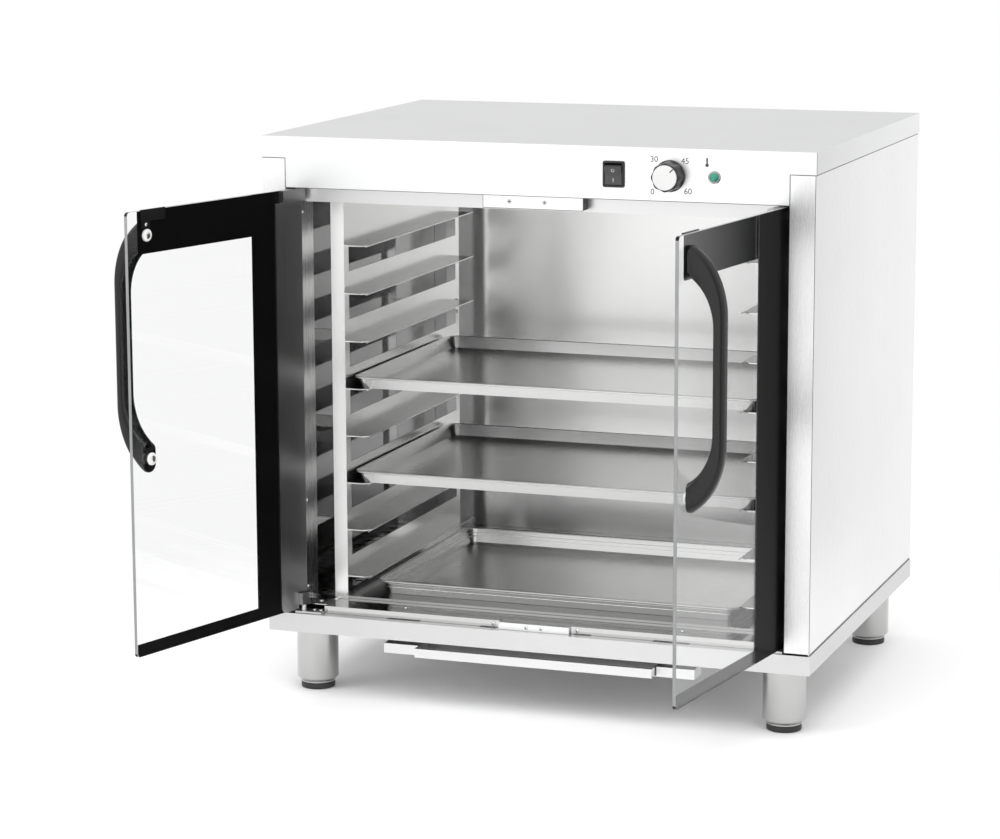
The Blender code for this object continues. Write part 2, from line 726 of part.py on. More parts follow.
def add_perforated_floor(body):
    path = [
        (PERFORATED_FROM_FRONT, STRIP_TOP + FIT),
        (PERFORATED_FROM_FRONT, FLOOR_TOP),
        (INNER_BACK_Y - SHEET - FIT, FLOOR_TOP),
    ]
    x = (POST_WIDTH + FIT, WIDTH - POST_WIDTH - FIT)
    floor = folded_sheet(path[::-1], SHEET, "x", *x)
    add_piece("perforated_floor", "polished steel", body, [floor], [merge_solids(floor_slots())])


# Door stops


def add_door_stops(body):
    half = CATCH_WIDTH / 2
    top = FASCIA_BOTTOM - FIT
    bottom = top - CATCH_HEIGHT
    y = (STOP_FRONT_Y, HEADER_FROM_FRONT - FIT)
    adds, cuts = shell_box((CENTRE_X - half, CENTRE_X + half), y, (bottom, top), SHEET, open_top=True)
    add_piece("top_door_catch", "steel", body, adds, cuts)
    for name, start in (
        ("left_catch_magnet", CENTRE_X - MAGNET_FROM_CENTRE - MAGNET_LENGTH),
        ("right_catch_magnet", CENTRE_X + MAGNET_FROM_CENTRE),
    ):
        magnet = block(
            (start, start + MAGNET_LENGTH),
            (STOP_FRONT_Y + SHEET + FIT, STOP_FRONT_Y + SHEET + FIT + MAGNET_DEPTH),
            (bottom + SHEET + FIT, bottom + SHEET + FIT + MAGNET_HEIGHT),
        )
        add_piece(name, "dark steel", body, [magnet])
    half = STOP_WIDTH / 2
    y = (STOP_FRONT_Y, STOP_FRONT_Y + STOP_DEPTH)
    z = (PLINTH_HEIGHT + FIT, PLINTH_HEIGHT + FIT + STOP_HEIGHT)
    adds, cuts = shell_box((CENTRE_X - half, CENTRE_X + half), y, z, SHEET, open_top=False)
    add_piece("bottom_door_stop", "steel", body, adds, cuts)


# Racks, trays and water pan


def level_height(level):
    return FIRST_LEVEL + level * LEDGE_SPACING


def ledge_outline():
    """A ledge seen from above, with its two inner corners cut off."""
    y0 = RACK_FROM_FRONT + LEDGE_FRONT_MARGIN
    y1 = RACK_FROM_FRONT + RACK_LENGTH - LEDGE_BACK_MARGIN
    inner = RACK_FROM_SIDE + LEDGE_WIDTH
    root = RACK_FROM_SIDE - SHEET / 2
    return [
        (root, y0),
        (inner - LEDGE_CORNER, y0),
        (inner, y0 + LEDGE_CORNER),
        (inner, y1 - LEDGE_CORNER),
        (inner - LEDGE_CORNER, y1),
        (root, y1),
    ]


def add_rack(body, side):
    back = RACK_FROM_FRONT + RACK_LENGTH
    path = [
        (RACK_FROM_SIDE - RACK_POST, RACK_FROM_FRONT),
        (RACK_FROM_SIDE, RACK_FROM_FRONT),
        (RACK_FROM_SIDE, back),
        (RACK_FROM_SIDE - RACK_POST, back),
    ]
    sheet = folded_sheet(path, SHEET, "z", STRIP_TOP + FIT, RACK_TOP)
    clip = block(
        (WALL_X + FIT, RACK_FROM_SIDE - RACK_POST + SHEET),
        (back - RACK_CLIP_WIDTH, back - SHEET / 2),
        (RACK_CLIP_LEVEL, RACK_CLIP_LEVEL + RACK_CLIP_HEIGHT),
    )
    windows = []
    ledges = []
    for level in range(LEVELS):
        top = level_height(level)
        windows.append(
            block(
                (RACK_FROM_SIDE - SHEET - OVERRUN, RACK_FROM_SIDE + OVERRUN),
                (RACK_FROM_FRONT + LEDGE_FRONT_MARGIN, back - LEDGE_BACK_MARGIN),
                (max(top - SHEET - WINDOW_HEIGHT, FLOOR_TOP + LEDGE_CORNER), top - SHEET / 2),
            )
        )
        ledges.append(prism(ledge_outline(), "z", top - SHEET, top))
    under = block(
        (RACK_FROM_SIDE - RACK_POST - OVERRUN, RACK_FROM_SIDE + OVERRUN),
        (PERFORATED_FROM_FRONT - FIT, back + OVERRUN),
        (STRIP_TOP, FLOOR_TOP + FIT),
    )
    cuts = [merge_solids(windows), under]
    obj = add_piece("rack_" + side, "polished steel", body, [sheet, clip], cuts, side)
    if side == RIGHT:
        ledges = [mirror_solid(bm) for bm in ledges]
    combine(obj, ledges, "UNION")
    obj.data.materials.clear()
    obj.data.materials.append(material("polished steel"))
    obj.data.shade_smooth()
    obj.data.set_sharp_from_angle(angle=math.radians(35))


def add_trays(root):
    x = (CENTRE_X - TRAY_LENGTH / 2, CENTRE_X + TRAY_LENGTH / 2)
    y = (TRAY_FROM_FRONT, TRAY_FROM_FRONT + TRAY_DEPTH)
    for level, name in TRAY_ON_LEDGE.items():
        carrier = add_empty(name + "_slide", root, (CENTRE_X, TRAY_FROM_FRONT, level_height(level)))
        tray = pan_solid(
            x, y, level_height(level) + FIT, TRAY_HEIGHT, TRAY_SHEET, TRAY_CORNER, TRAY_SLOPE, TRAY_RIM
        )
        add_piece(name, "steel", carrier, [tray], pivot=carrier.location)
    x = (CENTRE_X - PAN_LENGTH / 2, CENTRE_X + PAN_LENGTH / 2)
    y = (PAN_FROM_FRONT, PAN_FROM_FRONT + PAN_DEPTH)
    carrier = add_empty("water_pan_slide", root, (CENTRE_X, PAN_FROM_FRONT, FLOOR_TOP))
    pan = pan_solid(x, y, FLOOR_TOP + FIT, PAN_HEIGHT, TRAY_SHEET, PAN_CORNER, PAN_SLOPE, PAN_RIM)
    add_piece("water_pan", "steel", carrier, [pan], pivot=carrier.location)


# Legs and levelling feet


def add_leg_and_foot(root, body, name, x, y):
    top, bottom = -FIT, -FIT - LEG_HEIGHT
    inner = LEG_RADIUS - LEG_WALL
    mouth = FOOT_STEM + FIT
    profile = [
        (mouth, bottom),
        (LEG_RADIUS - LEG_CHAMFER, bottom),
        (LEG_RADIUS - LEG_CHAMFER, bottom + LEG_MOUTH),
        (LEG_RADIUS, bottom + LEG_MOUTH + LEG_CHAMFER),
        (LEG_RADIUS, top),
        (0, top),
        (0, top - LEG_TOP_PLATE),
        (inner, top - LEG_TOP_PLATE),
        (inner, bottom + LEG_MOUTH + LEG_CHAMFER),
        (mouth, bottom + LEG_MOUTH + LEG_CHAMFER),
        (mouth, bottom),
    ]
    add_piece(name + "_leg", "steel", body, [turned_ring(profile, x, y)])
    foot_top = bottom - FIT
    carrier = add_empty(name + "_foot_turn", root, (x, y, foot_top))
    foot = [
        (0, foot_top - FOOT_THICKNESS),
        (FOOT_RADIUS - FOOT_ROUND, foot_top - FOOT_THICKNESS),
        (FOOT_RADIUS, foot_top - FOOT_THICKNESS + FOOT_ROUND),
        (FOOT_RADIUS, foot_top),
        (FOOT_STEM, foot_top),
        (FOOT_STEM, foot_top + FOOT_STEM_LENGTH),
        (0, foot_top + FOOT_STEM_LENGTH),
    ]
    add_piece(name + "_foot", "black rubber", carrier, [turned(foot, x, y, "z")], pivot=carrier.location)


def turned_ring(profile, x, y):
    """A turned hollow part: the profile ends where it starts, or closes on the axis inside."""
    bm = bmesh.new()
    rings = []
    for radius, level in profile[:-1]:
        points = [(x, y)] if radius == 0 else circle(x, y, radius)
        rings.append([bm.verts.new((*p, level)) for p in points])
    rings.append(rings[0])
    for a, b in zip(rings, rings[1:]):
        for i in range(ROUND_SIDES):
            j = (i + 1) % ROUND_SIDES
            corners = [a[i % len(a)], a[j % len(a)], b[j % len(b)], b[i % len(b)]]
            distinct = list(dict.fromkeys(corners))
            if len(distinct) > 2:
                bm.faces.new(distinct)
    bmesh.ops.recalc_face_normals(bm, faces=bm.faces)
    return bm


def add_legs(root, body):
    for end, y in (("front", LEG_INSET_Y), ("rear", DEPTH - LEG_INSET_Y)):
        for side, x in ((LEFT, LEG_INSET_X), (RIGHT, WIDTH - LEG_INSET_X)):
            add_leg_and_foot(root, body, f"{end}_{side}", x, y)


# Doors


def door_frame(root, side):
    x = PIVOT_X if side == LEFT else WIDTH - PIVOT_X
    turn = -LEFT_DOOR_OPEN if side == LEFT else RIGHT_DOOR_OPEN
    return add_empty(side + "_door_pivot", root, (x, PIVOT_Y, PLINTH_HEIGHT), turn_z=turn)


def add_glass(carrier, side):
    radius = GLASS_CORNER
    outline = [(GLASS_X, DOOR_BOTTOM)]
    centre = DOOR_FREE_X - radius
    for level, start in ((DOOR_BOTTOM + radius, 270), (DOOR_TOP - radius, 0)):
        for i in range(CORNER_STEPS + 1):
            angle = math.radians(start + 90 * i / CORNER_STEPS)
            outline.append((centre + radius * math.cos(angle), level + radius * math.sin(angle)))
    outline.append((GLASS_X, DOOR_TOP))
    pane = prism(outline, "y", DOOR_BEHIND_FRONT, GLASS_BACK_Y)
    through = (DOOR_BEHIND_FRONT - OVERRUN, GLASS_BACK_Y + OVERRUN)
    holes = [rod(HANDLE_X, level, BOLT_HOLE, "y", *through) for level in BOLT_LEVELS.values()]
    add_piece(
        side + "_door_glass", "glass", carrier, [pane], [merge_solids(holes)], side, carrier.location
    )


def add_stile(carrier, side):
    """The steel strip on the hinge side: a face on the glass, folded round the glass's edge."""
    top = DOOR_TOP - STILE_BELOW_TOP
    x1 = DOOR_EDGE_X + STILE_WIDTH
    outline = [(DOOR_EDGE_X, DOOR_BOTTOM)]
    for i in range(CORNER_STEPS + 1):
        angle = math.radians(270 + 90 * i / CORNER_STEPS)
        outline.append(
            (
                x1 - STILE_CORNER + STILE_CORNER * math.cos(angle),
                DOOR_BOTTOM + STILE_CORNER + STILE_CORNER * math.sin(angle),
            )
        )
    outline += [(x1, top), (DOOR_EDGE_X, top)]
    face = prism(outline, "y", LEAF_FRONT_Y, LEAF_FRONT_Y + STILE_SHEET)
    fold_y = (DOOR_BEHIND_FRONT, LEAF_FRONT_Y + STILE_SHEET / 2)
    fold = block((DOOR_EDGE_X, DOOR_EDGE_X + STILE_SHEET), fold_y, (DOOR_BOTTOM, top))
    notch = block(
        (DOOR_EDGE_X - OVERRUN, PIVOT_X + BOTTOM_LEAF_LENGTH / 2 + FIT),
        (LEAF_FRONT_Y - FIT / 2, LEAF_FRONT_Y + STILE_SHEET + OVERRUN),
        (DOOR_BOTTOM - OVERRUN, LEAF_BOTTOM + BOTTOM_LEAF_HEIGHT + FIT),
    )
    add_piece(side + "_door_stile", "steel", carrier, [face, fold], [notch], side, carrier.location)


def add_hinge_leaves(carrier, side):
    y = (LEAF_FRONT_Y, LEAF_FRONT_Y + LEAF_THICKNESS)
    top_leaf = block(
        (DOOR_EDGE_X, DOOR_EDGE_X + TOP_LEAF_LENGTH), y, (DOOR_TOP - STILE_BELOW_TOP + FIT, LEAF_TOP)
    )
    pin = rod(PIVOT_X, PIVOT_Y, PIN_RADIUS, "z", LEAF_TOP - PIN_LENGTH, LEAF_TOP + PIN_LENGTH)
    add_piece(side + "_top_hinge_leaf", "dark steel", carrier, [top_leaf, pin], (), side, carrier.location)
    half = BOTTOM_LEAF_LENGTH / 2
    bottom_leaf = block((PIVOT_X - half, PIVOT_X + half), y, (LEAF_BOTTOM, LEAF_BOTTOM + BOTTOM_LEAF_HEIGHT))
    bore_z = (LEAF_BOTTOM - OVERRUN, LEAF_BOTTOM + BOTTOM_PIN_LENGTH + FIT)
    bore = rod(PIVOT_X, PIVOT_Y, PIN_RADIUS + PIN_CLEARANCE, "z", *bore_z)
    name = side + "_bottom_hinge_leaf"
    add_piece(name, "dark steel", carrier, [bottom_leaf], [bore], side, carrier.location)


def add_hinge_brackets(body, side):
    under = LEAF_TOP + TOP_BRACKET_ABOVE_LEAF
    back = HEADER_FROM_FRONT - FIT
    path = [
        (SHEET + TOP_BRACKET_FRONT_GAP, under),
        (back, under),
        (back, under + TOP_BRACKET_FLANGE),
    ]
    x = (PIVOT_X - TOP_BRACKET_WIDTH / 2, PIVOT_X + TOP_BRACKET_WIDTH / 2)
    angle = folded_sheet(path, BRACKET_THICKNESS, "x", *x)
    through = (under - OVERRUN, under + BRACKET_THICKNESS + OVERRUN)
    hole = rod(PIVOT_X, PIVOT_Y, PIN_RADIUS + PIN_CLEARANCE, "z", *through)
    add_piece(side + "_top_hinge_bracket", "dark steel", body, [angle], [hole], side)
    low = PLINTH_HEIGHT + FIT
    plate = block(
        (DOOR_EDGE_X, DOOR_EDGE_X + BOTTOM_BRACKET_LENGTH),
        (BOTTOM_BRACKET_FRONT, BOTTOM_BRACKET_FRONT + BOTTOM_BRACKET_DEPTH),
        (low, low + BRACKET_THICKNESS),
    )
    top = low + BRACKET_THICKNESS + BUSHING_HEIGHT
    bushing = rod(PIVOT_X, PIVOT_Y, BUSHING_RADIUS, "z", low + BRACKET_THICKNESS / 2, top)
    pin = rod(PIVOT_X, PIVOT_Y, PIN_RADIUS, "z", top - BUSHING_HEIGHT / 2, top + BOTTOM_PIN_LENGTH)
    add_piece(side + "_bottom_hinge_bracket", "bright steel", body, [plate, bushing, pin], (), side)


def bend(start_w, start_z, rise_w, rise_z):
    """Points from a foot towards the grip, along part of an ellipse that ends parallel to the glass."""
    first = math.radians(HANDLE_BEND_START)
    points = []
    for i in range(HANDLE_BEND_STEPS + 1):
        angle = first + (math.pi / 2 - first) * i / HANDLE_BEND_STEPS
        share_w = (math.sin(angle) - math.sin(first)) / (1 - math.sin(first))
        share_z = (math.cos(first) - math.cos(angle)) / math.cos(first)
        points.append((start_w - rise_w * share_w, start_z - rise_z * share_z))
    return points


def handle_outline():
    """The bow seen from the side, in (y, z), with its feet on the glass's outer face."""
    face = DOOR_BEHIND_FRONT - FIT
    middle = (BOLT_LEVELS["upper"] + BOLT_LEVELS["lower"]) / 2
    top = BOLT_LEVELS["upper"] + HANDLE_END
    outer = bend(face - HANDLE_TIP, top, HANDLE_REACH - HANDLE_TIP, HANDLE_OUTER_BEND)
    inner = bend(face, top - HANDLE_FOOT, HANDLE_REACH - HANDLE_THICKNESS, HANDLE_INNER_BEND)
    upper = [(face, top)] + outer
    lower = [(y, 2 * middle - z) for y, z in reversed(upper)]
    inner_lower = [(y, 2 * middle - z) for y, z in inner]
    return upper + lower + inner_lower + inner[::-1]


def add_handle(carrier, side):
    half = HANDLE_WIDTH / 2
    bow = prism(handle_outline(), "x", HANDLE_X - half, HANDLE_X + half)
    face = DOOR_BEHIND_FRONT - FIT
    bores = [
        rod(HANDLE_X, level, BOLT_RADIUS + FIT, "y", face - BOLT_DEPTH, face + OVERRUN)
        for level in BOLT_LEVELS.values()
    ]
    name = side + "_door_handle"
    rounding = (HANDLE_ROUND, 3)
    obj = add_piece(name, "black plastic", carrier, [bow], (), side, carrier.location, rounding)
    graph = bpy.context.evaluated_depsgraph_get()
    mesh = bpy.data.meshes.new_from_object(obj.evaluated_get(graph))
    obj.modifiers.clear()
    obj.data = mesh
    solids = [mirror_solid(bm) if side == RIGHT else bm for bm in bores]
    for bm in solids:
        bmesh.ops.translate(bm, verts=bm.verts, vec=-carrier.location)
    obj.parent = None
    combine(obj, solids, "DIFFERENCE")
    obj.parent = carrier
    for place, level in BOLT_LEVELS.items():
        add_bolt(carrier, side, place, level)


def add_bolt(carrier, side, place, level):
    """A screw from inside: a bright cap on the glass, and a shank through it into the handle."""
    back = GLASS_BACK_Y + FIT
    tip = DOOR_BEHIND_FRONT - FIT - BOLT_DEPTH + FIT
    profile = [
        (0, tip),
        (BOLT_RADIUS, tip),
        (BOLT_RADIUS, back),
        (BOLT_CAP_RADIUS, back),
        (BOLT_CAP_RADIUS, back + BOLT_CAP_HEIGHT - BOLT_CAP_ROUND),
        (BOLT_CAP_RADIUS - BOLT_CAP_ROUND, back + BOLT_CAP_HEIGHT),
        (BOLT_SOCKET_RADIUS, back + BOLT_CAP_HEIGHT),
        (BOLT_SOCKET_RADIUS, back + BOLT_CAP_HEIGHT - BOLT_SOCKET_DEPTH),
        (0, back + BOLT_CAP_HEIGHT - BOLT_SOCKET_DEPTH),
    ]
    screw = turned(profile, HANDLE_X, level, "y", ROUND_SIDES // 2)
    name = f"{side}_{place}_handle_screw"
    add_piece(name, "bright steel", carrier, [screw], (), side, carrier.location)


def add_strike_plate(carrier, side):
    x1 = DOOR_FREE_X - STRIKE_FROM_FREE_EDGE
    x0 = x1 - STRIKE_LENGTH
    top = DOOR_TOP + STRIKE_ABOVE_GLASS
    outline = [
        (x0, top),
        (x0, top - STRIKE_BAND),
        (x1 - STRIKE_LEG_WIDTH, top - STRIKE_BAND),
        (x1 - STRIKE_LEG_WIDTH, top - STRIKE_LEG_LENGTH),
        (x1, top - STRIKE_LEG_LENGTH),
        (x1, top),
    ]
    plate = prism(outline, "y", LEAF_FRONT_Y, STRIKE_BACK_Y)
    add_piece(side + "_strike_plate", "black plastic", carrier, [plate], (), side, carrier.location)


def add_door(root, body, side):
    carrier = door_frame(root, side)
    add_glass(carrier, side)
    add_stile(carrier, side)
    add_hinge_leaves(carrier, side)
    add_hinge_brackets(body, side)
    add_handle(carrier, side)
    add_strike_plate(carrier, side)


# Controls


def add_switch(root, body):
    half_x, half_z = SWITCH_WIDTH / 2, SWITCH_HEIGHT / 2
    bezel = block(
        (SWITCH_X - half_x, SWITCH_X + half_x),
        (-FIT - SWITCH_FLANGE, -FIT),
        (CONTROL_LEVEL - half_z, CONTROL_LEVEL + half_z),
    )
    body_x, body_z = half_x - SWITCH_RIM, half_z - SWITCH_RIM
    box = block(
        (SWITCH_X - body_x, SWITCH_X + body_x),
        (-FIT - SWITCH_FLANGE / 2, SWITCH_BODY_DEPTH),
        (CONTROL_LEVEL - body_z, CONTROL_LEVEL + body_z),
    )
    pocket_x, pocket_z = half_x - SWITCH_WALL, half_z - SWITCH_WALL
    pocket = block(
        (SWITCH_X - pocket_x, SWITCH_X + pocket_x),
        (-FIT - SWITCH_FLANGE - OVERRUN, SWITCH_POCKET),
        (CONTROL_LEVEL - pocket_z, CONTROL_LEVEL + pocket_z),
    )
    add_piece("switch_body", "black plastic", body, [bezel, box], [pocket])
    place = (SWITCH_X, ROCKER_PIVOT_BEHIND, CONTROL_LEVEL)
    carrier = add_empty("switch_rocker_pivot", root, place, turn_x=ROCKER_TILT)
    half = ROCKER_HEIGHT / 2
    outline = [
        (ROCKER_BACK, -half),
        (ROCKER_BACK, half),
        (-ROCKER_END, half),
        (-ROCKER_MIDDLE, 0),
        (-ROCKER_END, -half),
    ]
    outline = [(ROCKER_PIVOT_BEHIND + y, CONTROL_LEVEL + z) for y, z in outline]
    x = (SWITCH_X - pocket_x + ROCKER_SIDE_GAP, SWITCH_X + pocket_x - ROCKER_SIDE_GAP)
    add_piece("switch_rocker", "black plastic", carrier, [prism(outline, "x", *x)], pivot=place)


def knob_outline(widest):
    """The scalloped grip: shallow round flutes all the way round."""
    points = []
    steps = KNOB_FLUTE_STEPS * KNOB_FLUTES
    for i in range(steps):
        angle = 2 * math.pi * i / steps
        radius = widest - KNOB_FLUTE * math.sin(angle * KNOB_FLUTES / 2) ** 2
        points.append((KNOB_X + radius * math.cos(angle), CONTROL_LEVEL + radius * math.sin(angle)))
    return points


def knob_grip(front, back):
    """The grip widens a little from its face towards the fascia."""
    bm = bmesh.new()
    rings = []
    for level, widest in ((front, KNOB_FACE_RADIUS), (back, KNOB_GRIP_RADIUS)):
        outline = knob_outline(widest)
        rings.append([bm.verts.new(outline_to_space("y", level, *p)) for p in outline])
    count = len(rings[0])
    for i in range(count):
        j = (i + 1) % count
        bm.faces.new((rings[0][i], rings[0][j], rings[1][j], rings[1][i]))
    bm.faces.new(rings[0])
    bm.faces.new(rings[1])
    bmesh.ops.recalc_face_normals(bm, faces=bm.faces)
    return bm


def add_thermostat(root, body):
    half = THERMOSTAT_WIDTH / 2
    box = block(
        (KNOB_X - half, KNOB_X + half),
        (SHEET + FIT, SHEET + FIT + THERMOSTAT_DEPTH),
        (CONTROL_LEVEL - half, CONTROL_LEVEL + half),
    )
    shaft = rod(KNOB_X, CONTROL_LEVEL, SHAFT_RADIUS, "y", -KNOB_BORE_DEPTH + FIT, SHEET + OVERRUN)
    rear = rod(
        KNOB_X,
        CONTROL_LEVEL,
        THERMOSTAT_BUSH_RADIUS,
        "y",
        SHEET + THERMOSTAT_DEPTH - OVERRUN,
        SHEET + THERMOSTAT_DEPTH + THERMOSTAT_BUSH_RADIUS,
    )
    add_piece("thermostat_body", "grey polyamide", body, [box, shaft, rear])
    place = (KNOB_X, 0, CONTROL_LEVEL)
    carrier = add_empty("thermostat_knob_axis", root, place, turn_y=KNOB_REST_ANGLE)
    back = -KNOB_GAP
    front = back - KNOB_HEIGHT
    skirt = rod(KNOB_X, CONTROL_LEVEL, KNOB_SKIRT_RADIUS, "y", back - KNOB_SKIRT, back)
    grip = knob_grip(front, back - KNOB_SKIRT / 2)
    bore = rod(KNOB_X, CONTROL_LEVEL, KNOB_BORE, "y", -KNOB_BORE_DEPTH - FIT, back + OVERRUN)
    recess = rod(KNOB_X, CONTROL_LEVEL, KNOB_CAP_RADIUS + FIT, "y", front - OVERRUN, front + KNOB_CAP_RECESS)
    add_piece("thermostat_knob", "black plastic", carrier, [skirt, grip], [bore, recess], pivot=place)
    bottom = front + KNOB_CAP_RECESS - FIT
    disc = rod(KNOB_X, CONTROL_LEVEL, KNOB_CAP_RADIUS, "y", bottom - KNOB_CAP, bottom)
    add_piece("knob_cap", "bright steel", carrier, [disc], pivot=place)


def add_pilot_lamp(body):
    neck = LAMP_HOLE - LAMP_NECK_CLEARANCE
    inside = SHEET + FIT
    front = -FIT - LAMP_BEZEL
    profile = [
        *[(LAMP_LENS_RADIUS * r, front - LAMP_LENS_HEIGHT * h) for r, h in LAMP_LENS_SHARES],
        (LAMP_BEZEL_RADIUS, front),
        (LAMP_BEZEL_RADIUS, -FIT),
        (neck, -FIT),
        (neck, inside),
        (LAMP_NUT_RADIUS, inside),
        (LAMP_NUT_RADIUS, inside + LAMP_NUT),
        (LAMP_BODY_RADIUS, inside + LAMP_NUT),
        (LAMP_BODY_RADIUS, inside + LAMP_NUT + LAMP_BODY_LENGTH),
        (0, inside + LAMP_NUT + LAMP_BODY_LENGTH),
    ]
    add_piece("pilot_lamp", "green lens", body, [turned(profile, LAMP_X, CONTROL_LEVEL, "y")])


# Heater, cable gland


def add_heating_element(body):
    """A tubular heater in one flat loop, with both ends through the inner back wall."""
    radius = HEATER_SPREAD / 2
    end = INNER_BACK_Y + HEATER_TAIL
    points = [(CENTRE_X - radius, end), (CENTRE_X - radius, INNER_BACK_Y - HEATER_TAIL)]
    bend_y = HEATER_FRONT + radius
    for i in range(HEATER_BEND_STEPS + 1):
        angle = math.pi + math.pi * i / HEATER_BEND_STEPS
        points.append((CENTRE_X + radius * math.cos(angle), bend_y + radius * math.sin(angle)))
    points += [(CENTRE_X + radius, INNER_BACK_Y - HEATER_TAIL), (CENTRE_X + radius, end)]
    curve = bpy.data.curves.new("heating_element", "CURVE")
    curve.dimensions = "3D"
    curve.bevel_depth = HEATER_RADIUS
    curve.bevel_resolution = 2
    curve.use_fill_caps = True
    spline = curve.splines.new("POLY")
    spline.points.add(len(points) - 1)
    for point, (x, y) in zip(spline.points, points):
        point.co = (x, y, HEATER_LEVEL, 1)
    obj = bpy.data.objects.new("heating_element", curve)
    bpy.context.scene.collection.objects.link(obj)
    curve.materials.append(material("dark steel"))
    obj.parent = body


def add_cable_gland(body):
    outside = BACK_Y + FIT
    inside = BACK_Y - SHEET - FIT
    profile = [
        (GLAND_BORE, inside - GLAND_TAIL),
        (GLAND_FLANGE_RADIUS, inside - GLAND_TAIL),
        (GLAND_FLANGE_RADIUS, inside),
        (GLAND_NECK_RADIUS, inside),
        (GLAND_NECK_RADIUS, outside),
        (GLAND_FLANGE_RADIUS, outside),
        (GLAND_FLANGE_RADIUS, outside + GLAND_FLANGE),
        (GLAND_CAP_RADIUS, outside + GLAND_FLANGE),
        (GLAND_CAP_RADIUS, outside + GLAND_FLANGE + GLAND_CAP),
        (GLAND_BORE, outside + GLAND_FLANGE + GLAND_CAP),
    ]
    outer = turned([(r, y) for r, y in profile if r > GLAND_BORE], GLAND_X, GLAND_LEVEL, "y")
    bore = rod(
        GLAND_X,
        GLAND_LEVEL,
        GLAND_BORE,
        "y",
        inside - GLAND_TAIL - OVERRUN,
        outside + GLAND_FLANGE + GLAND_CAP + OVERRUN,
    )
    add_piece("cable_gland", "black plastic", body, [outer], [bore])


# Drip tray


def add_drip_tray(root):
    top = -DRIP_TOP_BELOW_BASE
    x = (CENTRE_X - DRIP_LENGTH / 2, CENTRE_X + DRIP_LENGTH / 2)
    carrier = add_empty("drip_tray_slide", root, (CENTRE_X, 0, top))
    adds, cuts = shell_box(x, (0, DRIP_DEPTH), (top - DRIP_HEIGHT, top), DRIP_SHEET, open_top=True)
    add_piece("drip_tray", "steel", carrier, adds, cuts, pivot=carrier.location)


def add_drip_bracket(body, side):
    """A folded shelf under one end of the drip tray, hung from the base by its rear flange."""
    tray_x = CENTRE_X - DRIP_LENGTH / 2
    shelf_top = -DRIP_TOP_BELOW_BASE - DRIP_HEIGHT - FIT
    bottom = shelf_top - SHEET
    front = DRIP_BRACKET_FROM_FRONT
    back = DRIP_DEPTH + DRIP_BRACKET_REAR_GAP
    x0 = tray_x - DRIP_SIDE_GAP - DRIP_BRACKET_LENGTH
    x1 = tray_x + DRIP_BRACKET_SHELF
    path = [
        (front, bottom),
        (back + SHEET, bottom),
        (back + SHEET, -FIT - SHEET),
        (back + DRIP_BRACKET_FLANGE, -FIT - SHEET),
    ]
    shelf = folded_sheet(path, SHEET, "x", x0, x1)
    z = (bottom, bottom + DRIP_BRACKET_HEIGHT)
    flap = block((x0, tray_x - DRIP_SIDE_GAP), (front, front + SHEET), z)
    cheek = block((x0, x0 + SHEET), (front, back + SHEET / 2), z)
    add_piece(side + "_drip_tray_bracket", "steel", body, [shelf, flap, cheek], (), side)


# The whole cabinet


def centre_on_origin(root):
    """Moves the root so that the middle of the whole object's underside is the world's origin."""
    bpy.context.view_layer.update()
    graph = bpy.context.evaluated_depsgraph_get()
    low, high = Vector((math.inf,) * 3), Vector((-math.inf,) * 3)
    for obj in bpy.context.scene.objects:
        if obj.type == "EMPTY" or obj.hide_render:
            continue
        evaluated = obj.evaluated_get(graph)
        mesh = evaluated.to_mesh()
        for vertex in mesh.vertices:
            point = evaluated.matrix_world @ vertex.co
            low = Vector(map(min, low, point))
            high = Vector(map(max, high, point))
        evaluated.to_mesh_clear()
    root.location = (-(low.x + high.x) / 2, -(low.y + high.y) / 2, -low.z)
    bpy.context.view_layer.update()
    print("root moved by", [round(c, 6) for c in root.location])
    print("size", [round(c, 6) for c in high - low])


def main():
    clear_scene()
    root = add_empty("proofing_cabinet", None)
    body = add_empty("cabinet_body", root)
    add_base_pan(body)
    add_top_cover(body)
    add_back_panel(body)
    add_inner_back_wall(body)
    add_ceiling_panel(body)
    add_front_header(body)
    add_floor_front_strip(body)
    add_perforated_floor(body)
    add_door_stops(body)
    for side in (LEFT, RIGHT):
        add_side_panel(body, side)
        add_inner_side_wall(body, side)
        add_rack(body, side)
        add_door(root, body, side)
        add_drip_bracket(body, side)
    add_trays(root)
    add_legs(root, body)
    add_switch(root, body)
    add_thermostat(root, body)
    add_pilot_lamp(body)
    add_heating_element(body)
    add_cable_gland(body)
    add_drip_tray(root)
    centre_on_origin(root)


main()
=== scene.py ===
"""The proofing cabinet as it looks: steel sheets, glass doors, trays, controls and feet on the frame."""

import json
import math

import bmesh
import bpy
from mathutils import Matrix, Vector


